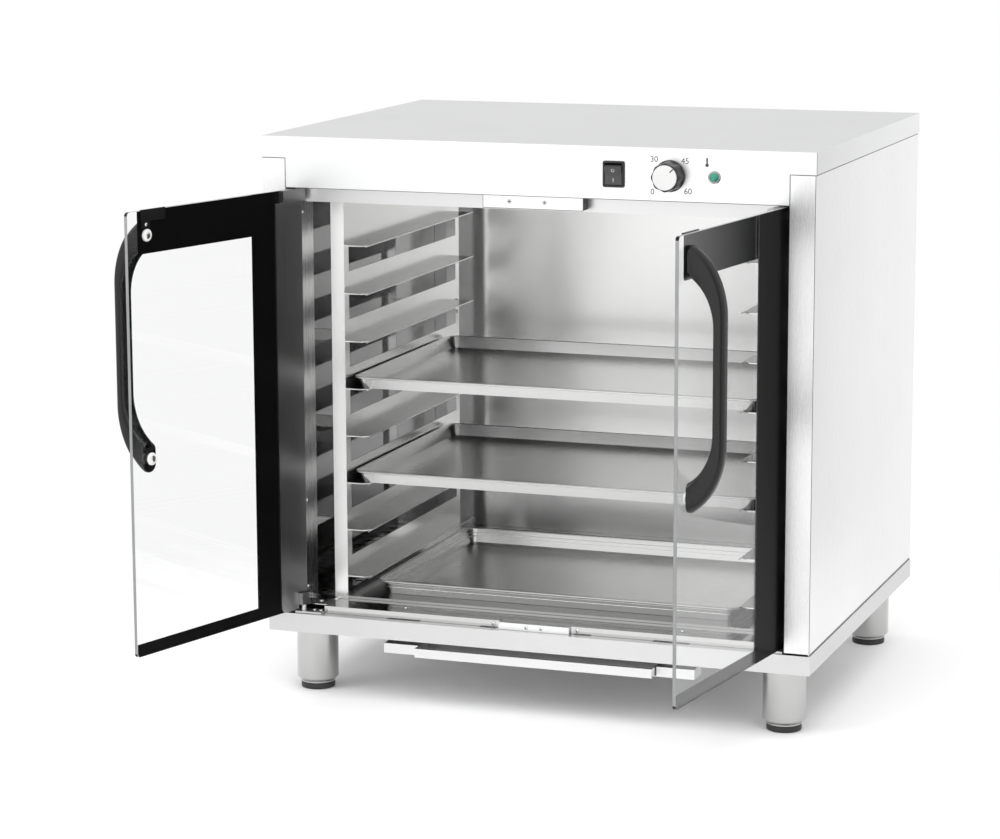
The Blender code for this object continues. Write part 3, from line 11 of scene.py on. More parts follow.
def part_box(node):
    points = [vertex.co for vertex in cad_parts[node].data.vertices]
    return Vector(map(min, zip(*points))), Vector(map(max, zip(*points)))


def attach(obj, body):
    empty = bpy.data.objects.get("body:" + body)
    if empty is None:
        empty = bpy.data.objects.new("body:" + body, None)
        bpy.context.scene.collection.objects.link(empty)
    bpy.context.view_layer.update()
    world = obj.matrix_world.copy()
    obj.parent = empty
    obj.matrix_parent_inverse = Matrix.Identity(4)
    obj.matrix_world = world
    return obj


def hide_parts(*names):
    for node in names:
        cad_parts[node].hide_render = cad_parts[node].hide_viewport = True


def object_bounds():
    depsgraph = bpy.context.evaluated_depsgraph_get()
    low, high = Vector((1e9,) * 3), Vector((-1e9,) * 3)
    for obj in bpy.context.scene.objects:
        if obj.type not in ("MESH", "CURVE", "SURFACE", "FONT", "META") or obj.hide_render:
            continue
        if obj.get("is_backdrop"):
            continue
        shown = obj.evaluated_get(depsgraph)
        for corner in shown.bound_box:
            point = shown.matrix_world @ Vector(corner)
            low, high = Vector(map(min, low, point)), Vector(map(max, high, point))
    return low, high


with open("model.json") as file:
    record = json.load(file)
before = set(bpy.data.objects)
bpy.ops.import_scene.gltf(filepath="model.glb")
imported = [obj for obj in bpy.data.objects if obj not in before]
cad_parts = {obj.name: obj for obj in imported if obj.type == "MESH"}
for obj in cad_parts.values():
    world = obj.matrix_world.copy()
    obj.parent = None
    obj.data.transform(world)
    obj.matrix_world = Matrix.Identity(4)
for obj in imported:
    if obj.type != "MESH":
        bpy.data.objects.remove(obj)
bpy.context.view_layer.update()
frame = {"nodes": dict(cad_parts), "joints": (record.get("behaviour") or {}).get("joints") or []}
nodes = frame["nodes"]
joints = {joint["name"]: joint for joint in frame["joints"]}

# The viewpoint: a long lens in front of the cabinet's right corner, a little above its lid. Sizes are
# metres. Places on the body are millimetres from its lower front left corner, here called corner.
corner = Vector(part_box("base_pan")[0])
CAMERA_FROM_CORNER = Vector((1.820461, -4.085153, 1.134135))
CAMERA_TURN = 0.344528
CAMERA_DOWN = 0.183440
CAMERA_ROLL = -0.003480
FOCAL_SHARE = 3.182632
FILM_WIDTH = 36.0

camera_data = bpy.data.cameras.new("camera")
camera_data.sensor_fit = "HORIZONTAL"
camera_data.sensor_width = FILM_WIDTH
camera_data.lens = FOCAL_SHARE * FILM_WIDTH
camera_data.clip_end = 100
camera = bpy.data.objects.new("camera", camera_data)
bpy.context.scene.collection.objects.link(camera)
aim = Vector(
    (
        -math.sin(CAMERA_TURN) * math.cos(CAMERA_DOWN),
        math.cos(CAMERA_TURN) * math.cos(CAMERA_DOWN),
        -math.sin(CAMERA_DOWN),
    )
)
upright = aim.to_track_quat("-Z", "Y").to_matrix().to_4x4()
camera.matrix_world = (
    Matrix.Translation(corner + CAMERA_FROM_CORNER) @ upright @ Matrix.Rotation(CAMERA_ROLL, 4, "Z")
)
bpy.context.scene.camera = camera


# The outer skin: base pan, lid with its fascia, side panels, back and header. All are folded from 1.2 mm
# stainless sheet, ground to a fine satin line that runs along each sheet, and their folds are a little round.
# The header and the base pan are painted darker than the lid and sides of the same sheet: painted shade, for
# the header the shade under the fascia.
LID_COLOUR = (0.87, 0.875, 0.875)
SHADED_HEADER_COLOUR = (0.72, 0.72, 0.72)
SIDE_COLOUR = (0.90, 0.90, 0.90)
SHADED_PLINTH_COLOUR = (0.68, 0.68, 0.68)
SKIN_ROUGHNESS = 0.30
SIDE_ROUGHNESS = 0.27
FOLD_ROUND = 0.0004
ALONG_GRAIN, ACROSS_GRAIN, GRAIN_DEPTH = 6.0, 1400.0, 0.0002
ALONG_WAVE, ACROSS_WAVE = 0.8, 11.0
STANDING, LYING = 0.6, 0.9
DARKER, LIGHTER = 0.95, 1.04


def added(tree, kind, values=None, **settings):
    """A node of a finish, with its settings and the values of its inputs."""
    node = tree.nodes.new(kind)
    for name, setting in settings.items():
        setattr(node, name, setting)
    for socket, value in (values or {}).items():
        node.inputs[socket].default_value = value
    return node


def wired(tree, *wires):
    """Leads nodes to nodes. Each wire is a node, its output, the next node, and its input."""
    for start, output, end, socket in wires:
        tree.links.new(start.outputs[output], end.inputs[socket])


def steel(name, colour, roughness, grain, smear=0.0, mark=0.04, wave=0.0, fine=0.04, level_painted_light_and_shade=1.0):
    """Stainless sheet. Ground lines along the grain change its gloss and surface, and wave makes it a little
    wavy. Faces that lie level take level_painted_light_and_shade times its colour: painted shade where it is
    below 1, painted light where it is above 1."""
    made = bpy.data.materials.new(name)
    made.use_nodes = True
    tree = made.node_tree
    shader = tree.nodes["Principled BSDF"]
    shader.inputs["Metallic"].default_value = 1.0
    place = tree.nodes.new("ShaderNodeTexCoord")
    stretch = added(
        tree, "ShaderNodeMapping",
        {"Scale": [ALONG_GRAIN if axis in grain else ACROSS_GRAIN for axis in "xyz"]},
    )
    lines = added(tree, "ShaderNodeTexNoise", {"Scale": 1.0, "Detail": 3.0})
    cloud = added(tree, "ShaderNodeTexNoise", {"Scale": 5.0})
    gloss = added(
        tree, "ShaderNodeMapRange", {"To Min": max(roughness - mark, 0.01), "To Max": roughness + mark}
    )
    tone = added(
        tree, "ShaderNodeMix",
        {
            "A": (*[c * DARKER for c in colour], 1),
            "B": (*[min(c * LIGHTER, 1) for c in colour], 1),
        },
        data_type="RGBA",
    )
    relief = added(tree, "ShaderNodeBump", {"Strength": fine, "Distance": GRAIN_DEPTH})
    wired(
        tree,
        (place, "Object", stretch, "Vector"),
        (place, "Object", cloud, "Vector"),
        (stretch, "Vector", lines, "Vector"),
        (lines, "Fac", gloss, "Value"),
        (gloss, "Result", shader, "Roughness"),
        (cloud, "Fac", tone, "Factor"),
    )
    if level_painted_light_and_shade == 1.0:
        wired(tree, (tone, "Result", shader, "Base Color"))
    else:
        # Painted light and shade: the colour is scaled by how level each face lies, from STANDING to LYING in
        # its normal's Z.
        surface = tree.nodes.new("ShaderNodeNewGeometry")
        split = tree.nodes.new("ShaderNodeSeparateXYZ")
        level = added(
            tree, "ShaderNodeMapRange",
            {"From Min": STANDING, "From Max": LYING, "To Min": 1.0, "To Max": level_painted_light_and_shade},
        )
        shade = added(tree, "ShaderNodeVectorMath", operation="SCALE")
        wired(
            tree,
            (surface, "Normal", split, "Vector"),
            (split, "Z", level, "Value"),
            (tone, "Result", shade, 0),
            (level, "Result", shade, "Scale"),
            (shade, "Vector", shader, "Base Color"),
        )
    wired(
        tree,
        (lines, "Fac", relief, "Height"),
        (relief, "Normal", shader, "Normal"),
    )
    if wave:
        slow = added(
            tree, "ShaderNodeMapping",
            {"Scale": [ALONG_WAVE if axis in grain else ACROSS_WAVE for axis in "xyz"]},
        )
        swell = added(tree, "ShaderNodeTexNoise", {"Scale": 1.0, "Detail": 0.5})
        lean = added(tree, "ShaderNodeBump", {"Strength": 1.0, "Distance": wave})
        wired(
            tree,
            (place, "Object", slow, "Vector"),
            (slow, "Vector", swell, "Vector"),
            (swell, "Fac", lean, "Height"),
            (lean, "Normal", relief, "Normal"),
        )
    if smear:
        shader.inputs["Anisotropic"].default_value = smear
        shader.inputs["Anisotropic Rotation"].default_value = 0.25
        across = added(tree, "ShaderNodeTangent", direction_type="RADIAL", axis="Z")
        wired(tree, (across, "Tangent", shader, "Tangent"))
    return made


def dress(names, finish, edge=0.0, segments=2):
    """Gives frame nodes their finish, and rounds their edges a little."""
    for name in names:
        node = nodes[name]
        node.data.materials.clear()
        node.data.materials.append(finish)
        if edge:
            rounding = node.modifiers.new("rounded folds", "BEVEL")
            rounding.width = edge
            rounding.segments = segments
            rounding.limit_method = "ANGLE"
            rounding.angle_limit = math.radians(40)
            rounding.harden_normals = True


# The lid's level faces, and those of the catch and the stop, are painted at 0.90 of its colour: painted
# shade.
lid_steel = steel("satin lid sheet", LID_COLOUR, SKIN_ROUGHNESS, "x", level_painted_light_and_shade=0.90)
side_steel = steel("satin side sheet", SIDE_COLOUR, SIDE_ROUGHNESS, "z", mark=0.02, fine=0.015)
plinth_steel = steel("satin base sheet", SHADED_PLINTH_COLOUR, SKIN_ROUGHNESS, "x")
header_steel = steel("satin header sheet", SHADED_HEADER_COLOUR, SKIN_ROUGHNESS, "x")
dress(["top_cover"], lid_steel, FOLD_ROUND)
dress(["front_header"], header_steel, FOLD_ROUND)
dress(["left_side_panel", "right_side_panel", "back_panel"], side_steel, FOLD_ROUND)
dress(["base_pan"], plinth_steel, FOLD_ROUND)


# The inner body: walls, ceiling, the strip behind the sill and the perforated floor. Polished sheet, a little
# wavy, so that what it mirrors runs into upright bands.
# The side walls are painted far darker than the back wall of the same sheet, and the ceiling, floor and sill
# strip darker too: painted shade for the dim inside of the cabinet.
SHADED_WALL_COLOUR = (0.31, 0.31, 0.31)
BACK_COLOUR = (0.93, 0.93, 0.925)
FLOOR_COLOUR = (0.60, 0.60, 0.595)

shaded_wall_steel = steel(
    "polished wall sheet with painted shade", SHADED_WALL_COLOUR, roughness=0.04, grain="z", mark=0.01, wave=0.00003, fine=0.004
)
back_steel = steel(
    "polished back sheet", BACK_COLOUR, roughness=0.25, grain="z", smear=0.95, mark=0.03, fine=0.02
)
ceiling_steel = steel("polished ceiling sheet", FLOOR_COLOUR, roughness=0.16, grain="x", mark=0.02, fine=0.02)
# The level faces of the floor and the sill strip are painted at 0.62 of their colour: painted shade.
floor_steel = steel(
    "polished floor sheet", FLOOR_COLOUR, roughness=0.10, grain="x", mark=0.02, wave=0.0001, fine=0.02,
    level_painted_light_and_shade=0.62,
)
dress(["inner_left_wall", "inner_right_wall"], shaded_wall_steel)
dress(["ceiling_panel"], ceiling_steel)
dress(["inner_back_wall"], back_steel)
dress(["floor_front_strip", "perforated_floor"], floor_steel, FOLD_ROUND)


# Screws: small stainless pan heads with a cross recess. They hold the sill strip, the door stops, the
# brackets, the reveals, the racks and the back panel.
SPECK_DARKER, SPECK_LIGHTER = 0.85, 1.15
bright_steel = steel("bright turned steel", (0.88, 0.88, 0.87), roughness=0.16, grain="", mark=0.02)


def moulded(name, colour, roughness, speckle, relief, gloss=0.5, mark=0.06):
    """Moulded, enamelled or lacquered black and grey parts: a fine grain in gloss, tone and surface."""
    made = bpy.data.materials.new(name)
    made.use_nodes = True
    tree = made.node_tree
    shader = tree.nodes["Principled BSDF"]
    shader.inputs["Specular IOR Level"].default_value = gloss
    place = tree.nodes.new("ShaderNodeTexCoord")
    grain = added(tree, "ShaderNodeTexNoise", {"Scale": speckle, "Detail": 3.0})
    cloud = added(tree, "ShaderNodeTexNoise", {"Scale": 40.0})
    evenness = added(
        tree, "ShaderNodeMapRange", {"To Min": max(roughness - mark, 0.01), "To Max": roughness + mark}
    )
    tone = added(
        tree, "ShaderNodeMix",
        {
            "A": (*[c * SPECK_DARKER for c in colour], 1),
            "B": (*[min(c * SPECK_LIGHTER, 1) for c in colour], 1),
        },
        data_type="RGBA",
    )
    bump = added(tree, "ShaderNodeBump", {"Strength": 0.3, "Distance": relief})
    wired(
        tree,
        (place, "Object", grain, "Vector"),
        (place, "Object", cloud, "Vector"),
        (grain, "Fac", evenness, "Value"),
        (evenness, "Result", shader, "Roughness"),
        (cloud, "Fac", tone, "Factor"),
        (tone, "Result", shader, "Base Color"),
        (grain, "Fac", bump, "Height"),
        (bump, "Normal", shader, "Normal"),
    )
    return made


# Near black: painted shade in the screws' cross recesses. The catch magnets are dressed with it too.
recess_black = moulded("shadowed recess", (0.03, 0.03, 0.03), roughness=0.5, speckle=900, relief=0.00002)


def loft(rings, closed=False):
    """Rings of equal count, one over the other, as one skin. Open ends get a face."""
    bm = bmesh.new()
    made = [[bm.verts.new(place) for place in ring] for ring in rings]
    if closed:
        made.append(made[0])
    for a, b in zip(made, made[1:]):
        count = max(len(a), len(b))
        for i in range(count):
            j = (i + 1) % count
            corners = [a[i % len(a)], a[j % len(a)], b[j % len(b)], b[i % len(b)]]
            distinct = list(dict.fromkeys(corners))
            if len(distinct) > 2:
                bm.faces.new(distinct)
    if not closed:
        for end in (made[0], made[-1]):
            if len(end) > 2:
                bm.faces.new(end)
    bmesh.ops.recalc_face_normals(bm, faces=bm.faces)
    return bm


def lathe(profile, sides=40, closed=False):
    """A profile of (radius, height) pairs turned about Z. Heights rise from the seat."""
    rings = []
    for radius, height in profile:
        if radius == 0:
            rings.append([(0, 0, height)])
            continue
        turns = [2 * math.pi * i / sides for i in range(sides)]
        rings.append([(radius * math.cos(a), radius * math.sin(a), height) for a in turns])
    return loft(rings, closed)


def extrude(outline, low, high):
    """An outline in the plane, as a slab from low to high along Z."""
    return loft([[(u, v, level) for u, v in outline] for level in (low, high)])


def add_piece(name, bm, finish, body, turn=None, sharp=35.0, edge=0.0, instead_of=()):
    """One piece of the scene: its mesh, set in place, with its finish, riding on a body of the frame."""
    if turn is not None:
        bmesh.ops.transform(bm, matrix=turn, verts=bm.verts)
        if turn.determinant() < 0:
            bmesh.ops.reverse_faces(bm, faces=bm.faces)
    mesh = bpy.data.meshes.new(name)
    bm.to_mesh(mesh)
    bm.free()
    for one in finish if isinstance(finish, (list, tuple)) else [finish]:
        mesh.materials.append(one)
    mesh.shade_smooth()
    mesh.set_sharp_from_angle(angle=math.radians(sharp))
    piece = bpy.data.objects.new(name, mesh)
    bpy.context.scene.collection.objects.link(piece)
    if edge:
        rounding = piece.modifiers.new("rounded edges", "BEVEL")
        rounding.width = edge
        rounding.segments = 2
        rounding.limit_method = "ANGLE"
        rounding.angle_limit = math.radians(sharp)
        rounding.harden_normals = True
    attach(piece, body)
    if instead_of:
        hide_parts(*instead_of)
    return piece


def facing(place, outward, up=(0, 0, 1)):
    """The place and turn of a piece that was made lying on the XY plane and looks along outward."""
    z = Vector(outward).normalized()
    y = Vector(up)
    if abs(y.dot(z)) > 0.99:
        y = Vector((0, 1, 0))
    y = (y - z * y.dot(z)).normalized()
    x = y.cross(z)
    turn = Matrix((x, y, z)).transposed().to_4x4()
    return Matrix.Translation(place) @ turn


def joined(parts):
    """Several meshes as one."""
    whole = bmesh.new()
    for part in parts:
        moved = bpy.data.meshes.new("moved")
        part.to_mesh(moved)
        part.free()
        whole.from_mesh(moved)
        bpy.data.meshes.remove(moved)
    return whole


def pan_head(radius):
    """A domed screw head with a cross cut into it. Faces inside the cross get the second finish, a painted
    shade for the recess.
    """
    height = radius * 0.62
    arm, width, depth = radius * 0.55, radius * 0.13, height * 0.45
    profile = [(0, 0), (radius, 0), (radius, height * 0.25)]
    profile += [
        (radius * math.cos(a), height * (0.25 + 0.75 * math.sin(a))) for a in (0.45, 0.85, 1.2)
    ]
    profile.append((0, height))
    bm = lathe(profile, 20)
    cross = [
        (width, width), (width, arm), (-width, arm), (-width, width), (-arm, width), (-arm, -width),
        (-width, -width), (-width, -arm), (width, -arm), (width, -width), (arm, -width), (arm, width),
    ]
    cut = extrude(cross, height - depth, height + depth)
    head, tool = bpy.data.meshes.new("head"), bpy.data.meshes.new("tool")
    bm.to_mesh(head)
    cut.to_mesh(tool)
    bm.free()
    cut.free()
    head_object = bpy.data.objects.new("head", head)
    tool_object = bpy.data.objects.new("tool", tool)
    for helper in (head_object, tool_object):
        bpy.context.scene.collection.objects.link(helper)
    change = head_object.modifiers.new("cross", "BOOLEAN")
    change.operation = "DIFFERENCE"
    change.solver = "EXACT"
    change.object = tool_object
    graph = bpy.context.evaluated_depsgraph_get()
    result = bmesh.new()
    result.from_mesh(head_object.evaluated_get(graph).to_mesh())
    for helper in (head_object, tool_object):
        bpy.data.objects.remove(helper, do_unlink=True)
    for face in result.faces:
        centre = face.calc_center_median()
        if centre.z < height - depth * 0.4 and centre.xy.length < arm * 0.98 and centre.z > 0:
            face.material_index = 1
    return result


def add_screws(name, places, outward, radius, body):
    """A row of like screws as one piece."""
    heads = []
    for i, place in enumerate(places):
        head = pan_head(radius)
        spin = Matrix.Rotation(0.5 + 1.1 * i, 4, "Z")
        bmesh.ops.transform(head, matrix=facing(place, outward) @ spin, verts=head.verts)
        heads.append(head)
    return add_piece(name, joined(heads), [bright_steel, recess_black], body)


def at(x, y, z):
    """A place in the body, in millimetres from its lower front left corner."""
    return corner + Vector((x, y, z)) / 1000


SEAT = 0.05
SILL_TOP = 37.5
SCREW_RADIUS = 0.0032
SMALL_SCREW_RADIUS = 0.0030
BACK_SCREW_RADIUS = 0.0036
add_screws(
    "sill_screws",
    [at(x, 43, SILL_TOP + SEAT) for x in (64, 195, 605, 736)]
    + [at(x, 60, SILL_TOP + SEAT) for x in (80, 720)],
    (0, 0, 1),
    SCREW_RADIUS,
    "cabinet",
)
add_screws(
    "sill_riser_screws", [at(x, 16 - SEAT, 32.2) for x in (338, 462)], (0, -1, 0), SCREW_RADIUS, "cabinet"
)
for side, x, out in (("left", 36 + SEAT, (1, 0, 0)), ("right", 764 - SEAT, (-1, 0, 0))):
    add_screws(
        side + "_reveal_screws", [at(x, 62, z) for z in (53, 181, 600)], out, SCREW_RADIUS, "cabinet"
    )
add_screws(
    "back_panel_screws",
    [at(x, 626.5 + SEAT, z) for x in (20, 400, 780) for z in (45, 360, 660)],
    (0, 1, 0),
    BACK_SCREW_RADIUS,
    "cabinet",
)


# The joints of the outer skin: a thin dark strip in each gap, under the lid's apron, beside the fascia, down
# the front corners and along the base. The strips are painted shadow for the shade in the gaps.
seam_painted_shadow = moulded("painted seam shadow", (0.07, 0.07, 0.07), roughness=0.5, speckle=700, relief=0.00003)
SEAM_SHADOWS = {
    "lid_seam_shadow": [
        ((1.5, 36.3), (-0.06, 0.3), (681.9, 683.0)), ((763.7, 798.5), (-0.06, 0.3), (681.9, 683.0)),
        ((798.4, 798.6), (0, 626), (681.3, 683.0)), ((1.4, 1.6), (0, 626), (681.3, 683.0)),
    ],
    "fascia_seam_shadow": [
        ((35.4, 36.6), (-0.06, 0.3), (641, 681.9)), ((763.4, 764.6), (-0.06, 0.3), (641, 681.9)),
        ((36.6, 763.4), (-0.06, 0.0), (640.9, 641.7)),
    ],
    "corner_seam_shadow": [
        ((798.4, 798.56), (0.6, 3.4), (30, 682)), ((1.44, 1.6), (0.6, 3.4), (30, 682)),
        ((800, 800.06), (0.4, 2.6), (683.4, 712.4)), ((-0.06, 0), (0.4, 2.6), (683.4, 712.4)),
    ],
    "base_seam_shadow": [((798.4, 798.6), (0, 626), (27.8, 29.0)), ((1.4, 1.6), (0, 626), (27.8, 29.0))],
}


def slabs(boxes, per_metre=1000):
    """Boxes as one mesh, each (x from, x to), (y from, y to), (z from, z to), in millimetres or in metres."""
    made = []
    for (x0, x1), (y0, y1), (z0, z1) in boxes:
        outline = [(x0, y0), (x1, y0), (x1, y1), (x0, y1)]
        outline = [(x / per_metre, y / per_metre) for x, y in outline]
        made.append(extrude(outline, z0 / per_metre, z1 / per_metre))
    return joined(made)


# Each joint's painted shadow strips, as one piece.
for name, shadow_strips in SEAM_SHADOWS.items():
    add_piece(name, slabs(shadow_strips), seam_painted_shadow, "cabinet", Matrix.Translation(corner))


# The door stops: a steel catch with two magnets under the fascia, and a low stop on the sill. Each is a
# folded cap held by two screws. The catch's screws are flush, because the doors close against it.
CATCH_FRONT = 8.9
bracket_steel = steel("satin bracket", (0.62, 0.62, 0.62), roughness=0.34, grain="x")
dress(["top_door_catch", "bottom_door_stop"], lid_steel, FOLD_ROUND)
# A thin dark strip round the catch's edges: painted shadow for the gap round it.
CATCH_SEAM_SHADOW = [
    ((327.2, 328.0), (8.9, 29), (623.1, 640.7)), ((472.0, 472.8), (8.9, 29), (623.1, 640.7)),
    ((327.2, 472.8), (8.8, 9.4), (622.3, 623.1)), ((327.2, 472.8), (8.8, 9.4), (640.0, 640.7)),
]
add_piece(
    "catch_seam_shadow", slabs(CATCH_SEAM_SHADOW), seam_painted_shadow, "cabinet", Matrix.Translation(corner),
)
dress(["left_catch_magnet", "right_catch_magnet"], recess_black)
FLUSH_HEIGHT, FLUSH_RADIUS, FLUSH_SIDES = 0.0002, 0.0034, 24
CROSS_ARM, CROSS_HALF_WIDTH, CROSS_HEIGHT = 0.0019, 0.0005, 0.00004
flush_heads = []
for x in (366, 417):
    turns = [math.pi * k / (FLUSH_SIDES / 2) for k in range(FLUSH_SIDES)]
    head = extrude([(FLUSH_RADIUS * math.cos(a), FLUSH_RADIUS * math.sin(a)) for a in turns], 0, FLUSH_HEIGHT)
    # Each flat head's rim and a thin cross laid on its top are near black: painted shade for the gap round
    # the head and for the cross recess.
    for face in head.faces:
        face.material_index = 0 if face.calc_center_median().z > FLUSH_HEIGHT * 0.9 else 1
    parts = [head]
    for a, b in ((CROSS_ARM, CROSS_HALF_WIDTH), (CROSS_HALF_WIDTH, CROSS_ARM)):
        bar = extrude([(-a, -b), (a, -b), (a, b), (-a, b)], FLUSH_HEIGHT, FLUSH_HEIGHT + CROSS_HEIGHT)
        for face in bar.faces:
            face.material_index = 1
        parts.append(bar)
    head = joined(parts)
    bmesh.ops.transform(head, matrix=facing(at(x, CATCH_FRONT - SEAT, 632), (0, -1, 0)), verts=head.verts)
    flush_heads.append(head)
add_piece("catch_screws", joined(flush_heads), [bracket_steel, recess_black], "cabinet")
add_screws(
    "stop_screws", [at(x, CATCH_FRONT - SEAT, 32) for x in (389, 411)], (0, -1, 0), SMALL_SCREW_RADIUS,
    "cabinet",
)


# The tray racks: one polished sheet on each side, with eight ledges folded out of it above eight windows. The
# ledges' cut edges are ground bright. A clip at the back and two small screws hold each rack to the wall.
RACK_COLOUR = (0.90, 0.90, 0.895)
CLIP_LEVEL = 403
FIRST_LEDGE, LEDGE_STEP, LEDGES = 68.5, 69, 8
LEDGE_FRONT, LEDGE_REAR = 75, 518
LIP_BELOW, LIP_ABOVE = 1.3, 0.1
# The level faces of the racks, their ledges among them, are painted at 0.36 of the sheet's colour: painted
# shade.
rack_steel = steel(
    "polished rack sheet", RACK_COLOUR, roughness=0.20, grain="yz", mark=0.02, fine=0.008, level_painted_light_and_shade=0.36
)
dress(["rack_left", "rack_right"], rack_steel, edge=0.0002, segments=1)
lip_steel = steel("ground ledge edge", (0.92, 0.92, 0.915), roughness=0.30, grain="y", mark=0.03)
ledge_tops = [FIRST_LEDGE + LEDGE_STEP * level for level in range(LEDGES)]
for side, x0, x1 in (("left", 124.9, 125.1), ("right", 674.9, 675.1)):
    lips = [
        ((x0, x1), (LEDGE_FRONT, LEDGE_REAR), (top - LIP_BELOW, top + LIP_ABOVE)) for top in ledge_tops
    ]
    add_piece(
        side + "_ledge_lips", slabs(lips), lip_steel, "cabinet", Matrix.Translation(corner),
    )
for side, x, out in (("left", 97.6 + SEAT, (1, 0, 0)), ("right", 702.4 - SEAT, (-1, 0, 0))):
    places = [at(x, 519, CLIP_LEVEL + step) for step in (-9, 9)]
    add_screws(side + "_rack_screws", places, out, SMALL_SCREW_RADIUS, "cabinet")


# The baking trays: pressed steel sheet with sloped sides and a rim rolled round a wire. The water pan is
# deeper pressed, and ribs run round its wall to stiffen it.
TRAY_COLOUR = (0.62, 0.62, 0.615)
BEAD_RADIUS = 0.0016
TRAY_CORNER, PAN_CORNER = 0.018, 0.022
BEAD_BELOW_TOP = 0.0010
# The level faces of the trays and the pan are painted 1.3 times lighter than their walls: painted light on
# the faces that look up.
tray_steel = steel(
    "pressed tray sheet", TRAY_COLOUR, roughness=0.24, grain="y", mark=0.04, wave=0.0001, fine=0.015,
    level_painted_light_and_shade=1.3,
)
bead_steel = steel("rolled tray rim", (0.92, 0.92, 0.915), roughness=0.38, grain="xy", mark=0.03)
dress(["upper_tray", "lower_tray", "water_pan"], tray_steel, edge=0.0003)


def rounded_outline(half_u, half_v, radius, steps=8):
    """A rectangle with round corners, about the origin."""
    points = []
    for quarter, (su, sv) in enumerate(((1, 1), (-1, 1), (-1, -1), (1, -1))):
        for i in range(steps + 1):
            angle = math.pi / 2 * (quarter + i / steps)
            points.append(
                (
                    su * (half_u - radius) + radius * math.cos(angle),
                    sv * (half_v - radius) + radius * math.sin(angle),
                )
            )
    return points


def bead(half_u, half_v, radius, thickness, level, sides=8):
    """A wire that runs round a rectangle with round corners."""
    rings = []
    for i in range(sides):
        angle = 2 * math.pi * i / sides
        out, up = thickness * math.cos(angle), thickness * math.sin(angle)
        ring = rounded_outline(half_u + out, half_v + out, radius + out)
        rings.append([(u, v, level + up) for u, v in ring])
    return loft(rings, closed=True)


for name in ("upper_tray", "lower_tray"):
    low, high = (Vector(c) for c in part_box(name))
    middle = (low + high) / 2
    half = (high - low) / 2
    rim = bead(half.x - BEAD_RADIUS, half.y - BEAD_RADIUS, TRAY_CORNER - BEAD_RADIUS, BEAD_RADIUS, 0)
    place = Matrix.Translation((middle.x, middle.y, high.z - BEAD_BELOW_TOP))
    add_piece(name + "_rolled_rim", rim, bead_steel, name, place, sharp=60)
low, high = (Vector(c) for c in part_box("water_pan"))
middle = (low + high) / 2
half = (high - low) / 2
WALL_INSET = 0.0104
RIB_CORNER, RIB_RADIUS = 0.011, 0.0013
RIBS_BELOW_AND_IN = ((0.0062, 0.0012), (0.0115, 0.0025))
rim_u, rim_v = half.x - BEAD_RADIUS, half.y - BEAD_RADIUS
ribs = [bead(rim_u, rim_v, PAN_CORNER - BEAD_RADIUS, BEAD_RADIUS, -BEAD_BELOW_TOP)]
for below, inset in RIBS_BELOW_AND_IN:
    rib_u, rib_v = half.x - WALL_INSET - inset, half.y - WALL_INSET - inset
    ribs.append(bead(rib_u, rib_v, RIB_CORNER, RIB_RADIUS, -below))
place = Matrix.Translation((middle.x, middle.y, high.z))
add_piece("water_pan_ribs", joined(ribs), bead_steel, "water_pan", place, sharp=60)


# The legs and levelling feet: brushed tube with a chamfered end and a thin turned ring. Each black foot is
# moulded on a threaded stem that screws into the leg.
TURNED_SIDES = 96
LEG_PROFILE = [
    (0.0063, -0.0853), (0.0240, -0.0853), (0.0249, -0.0847), (0.0249, -0.0835), (0.0243, -0.0829),
    (0.0250, -0.0824), (0.0255, -0.0822), (0.0297, -0.0780), (0.0300, -0.0773), (0.0300, -0.0003),
    (0.0012, -0.0003), (0.0012, -0.0033), (0.0285, -0.0033), (0.0285, -0.0780), (0.0063, -0.0780),
]
FOOT_PROFILE = [
    (0, -0.0941), (0.0228, -0.0941), (0.0240, -0.0936), (0.0245, -0.0926), (0.0245, -0.0872),
    (0.0240, -0.0860), (0.0232, -0.0856), (0.0060, -0.0856), (0.0060, -0.0556), (0, -0.0556),
]
leg_steel = steel("brushed leg tube", (0.54, 0.54, 0.535), roughness=0.18, grain="z", mark=0.04)
foot_black = moulded("black foot", (0.022, 0.022, 0.022), roughness=0.5, speckle=1500, relief=0.00005)
for end, y in (("front", 60), ("rear", 568)):
    for side, x in (("left", 50), ("right", 750)):
        leg, foot = f"{end}_{side}_leg", f"{end}_{side}_foot"
        place = Matrix.Translation(at(x, y, 0))
        add_piece(
            leg + "_tube", lathe(LEG_PROFILE, TURNED_SIDES, True), leg_steel, "cabinet", place, sharp=25,
            instead_of=[leg],
        )
        add_piece(
            foot + "_pad", lathe(FOOT_PROFILE, TURNED_SIDES), foot_black, foot, place, sharp=25,
            instead_of=[foot],
        )


# The doors: toughened glass with ground edges, a black printed border on its inner face, and a band of the
# same print on its outer face along the hinges. A steel stile is folded round the hinge side, and two hinge
# leaves turn on pins in the brackets.
glass = bpy.data.materials.new("clear toughened glass")
glass.use_nodes = True
tree = glass.node_tree
shader = tree.nodes["Principled BSDF"]
shader.inputs["Base Color"].default_value = (0.995, 1.0, 0.998, 1)
shader.inputs["Roughness"].default_value = 0.0
shader.inputs["IOR"].default_value = 1.35
shader.inputs["Transmission Weight"].default_value = 1.0
place = tree.nodes.new("ShaderNodeTexCoord")
waves = added(tree, "ShaderNodeTexNoise", {"Scale": 4.0})
float_waves = added(tree, "ShaderNodeBump", {"Strength": 0.2, "Distance": 0.0003})
let_light = added(tree, "ShaderNodeBsdfTransparent", {"Color": (0.95, 0.96, 0.955, 1)})
path = tree.nodes.new("ShaderNodeLightPath")
choose = tree.nodes.new("ShaderNodeMixShader")
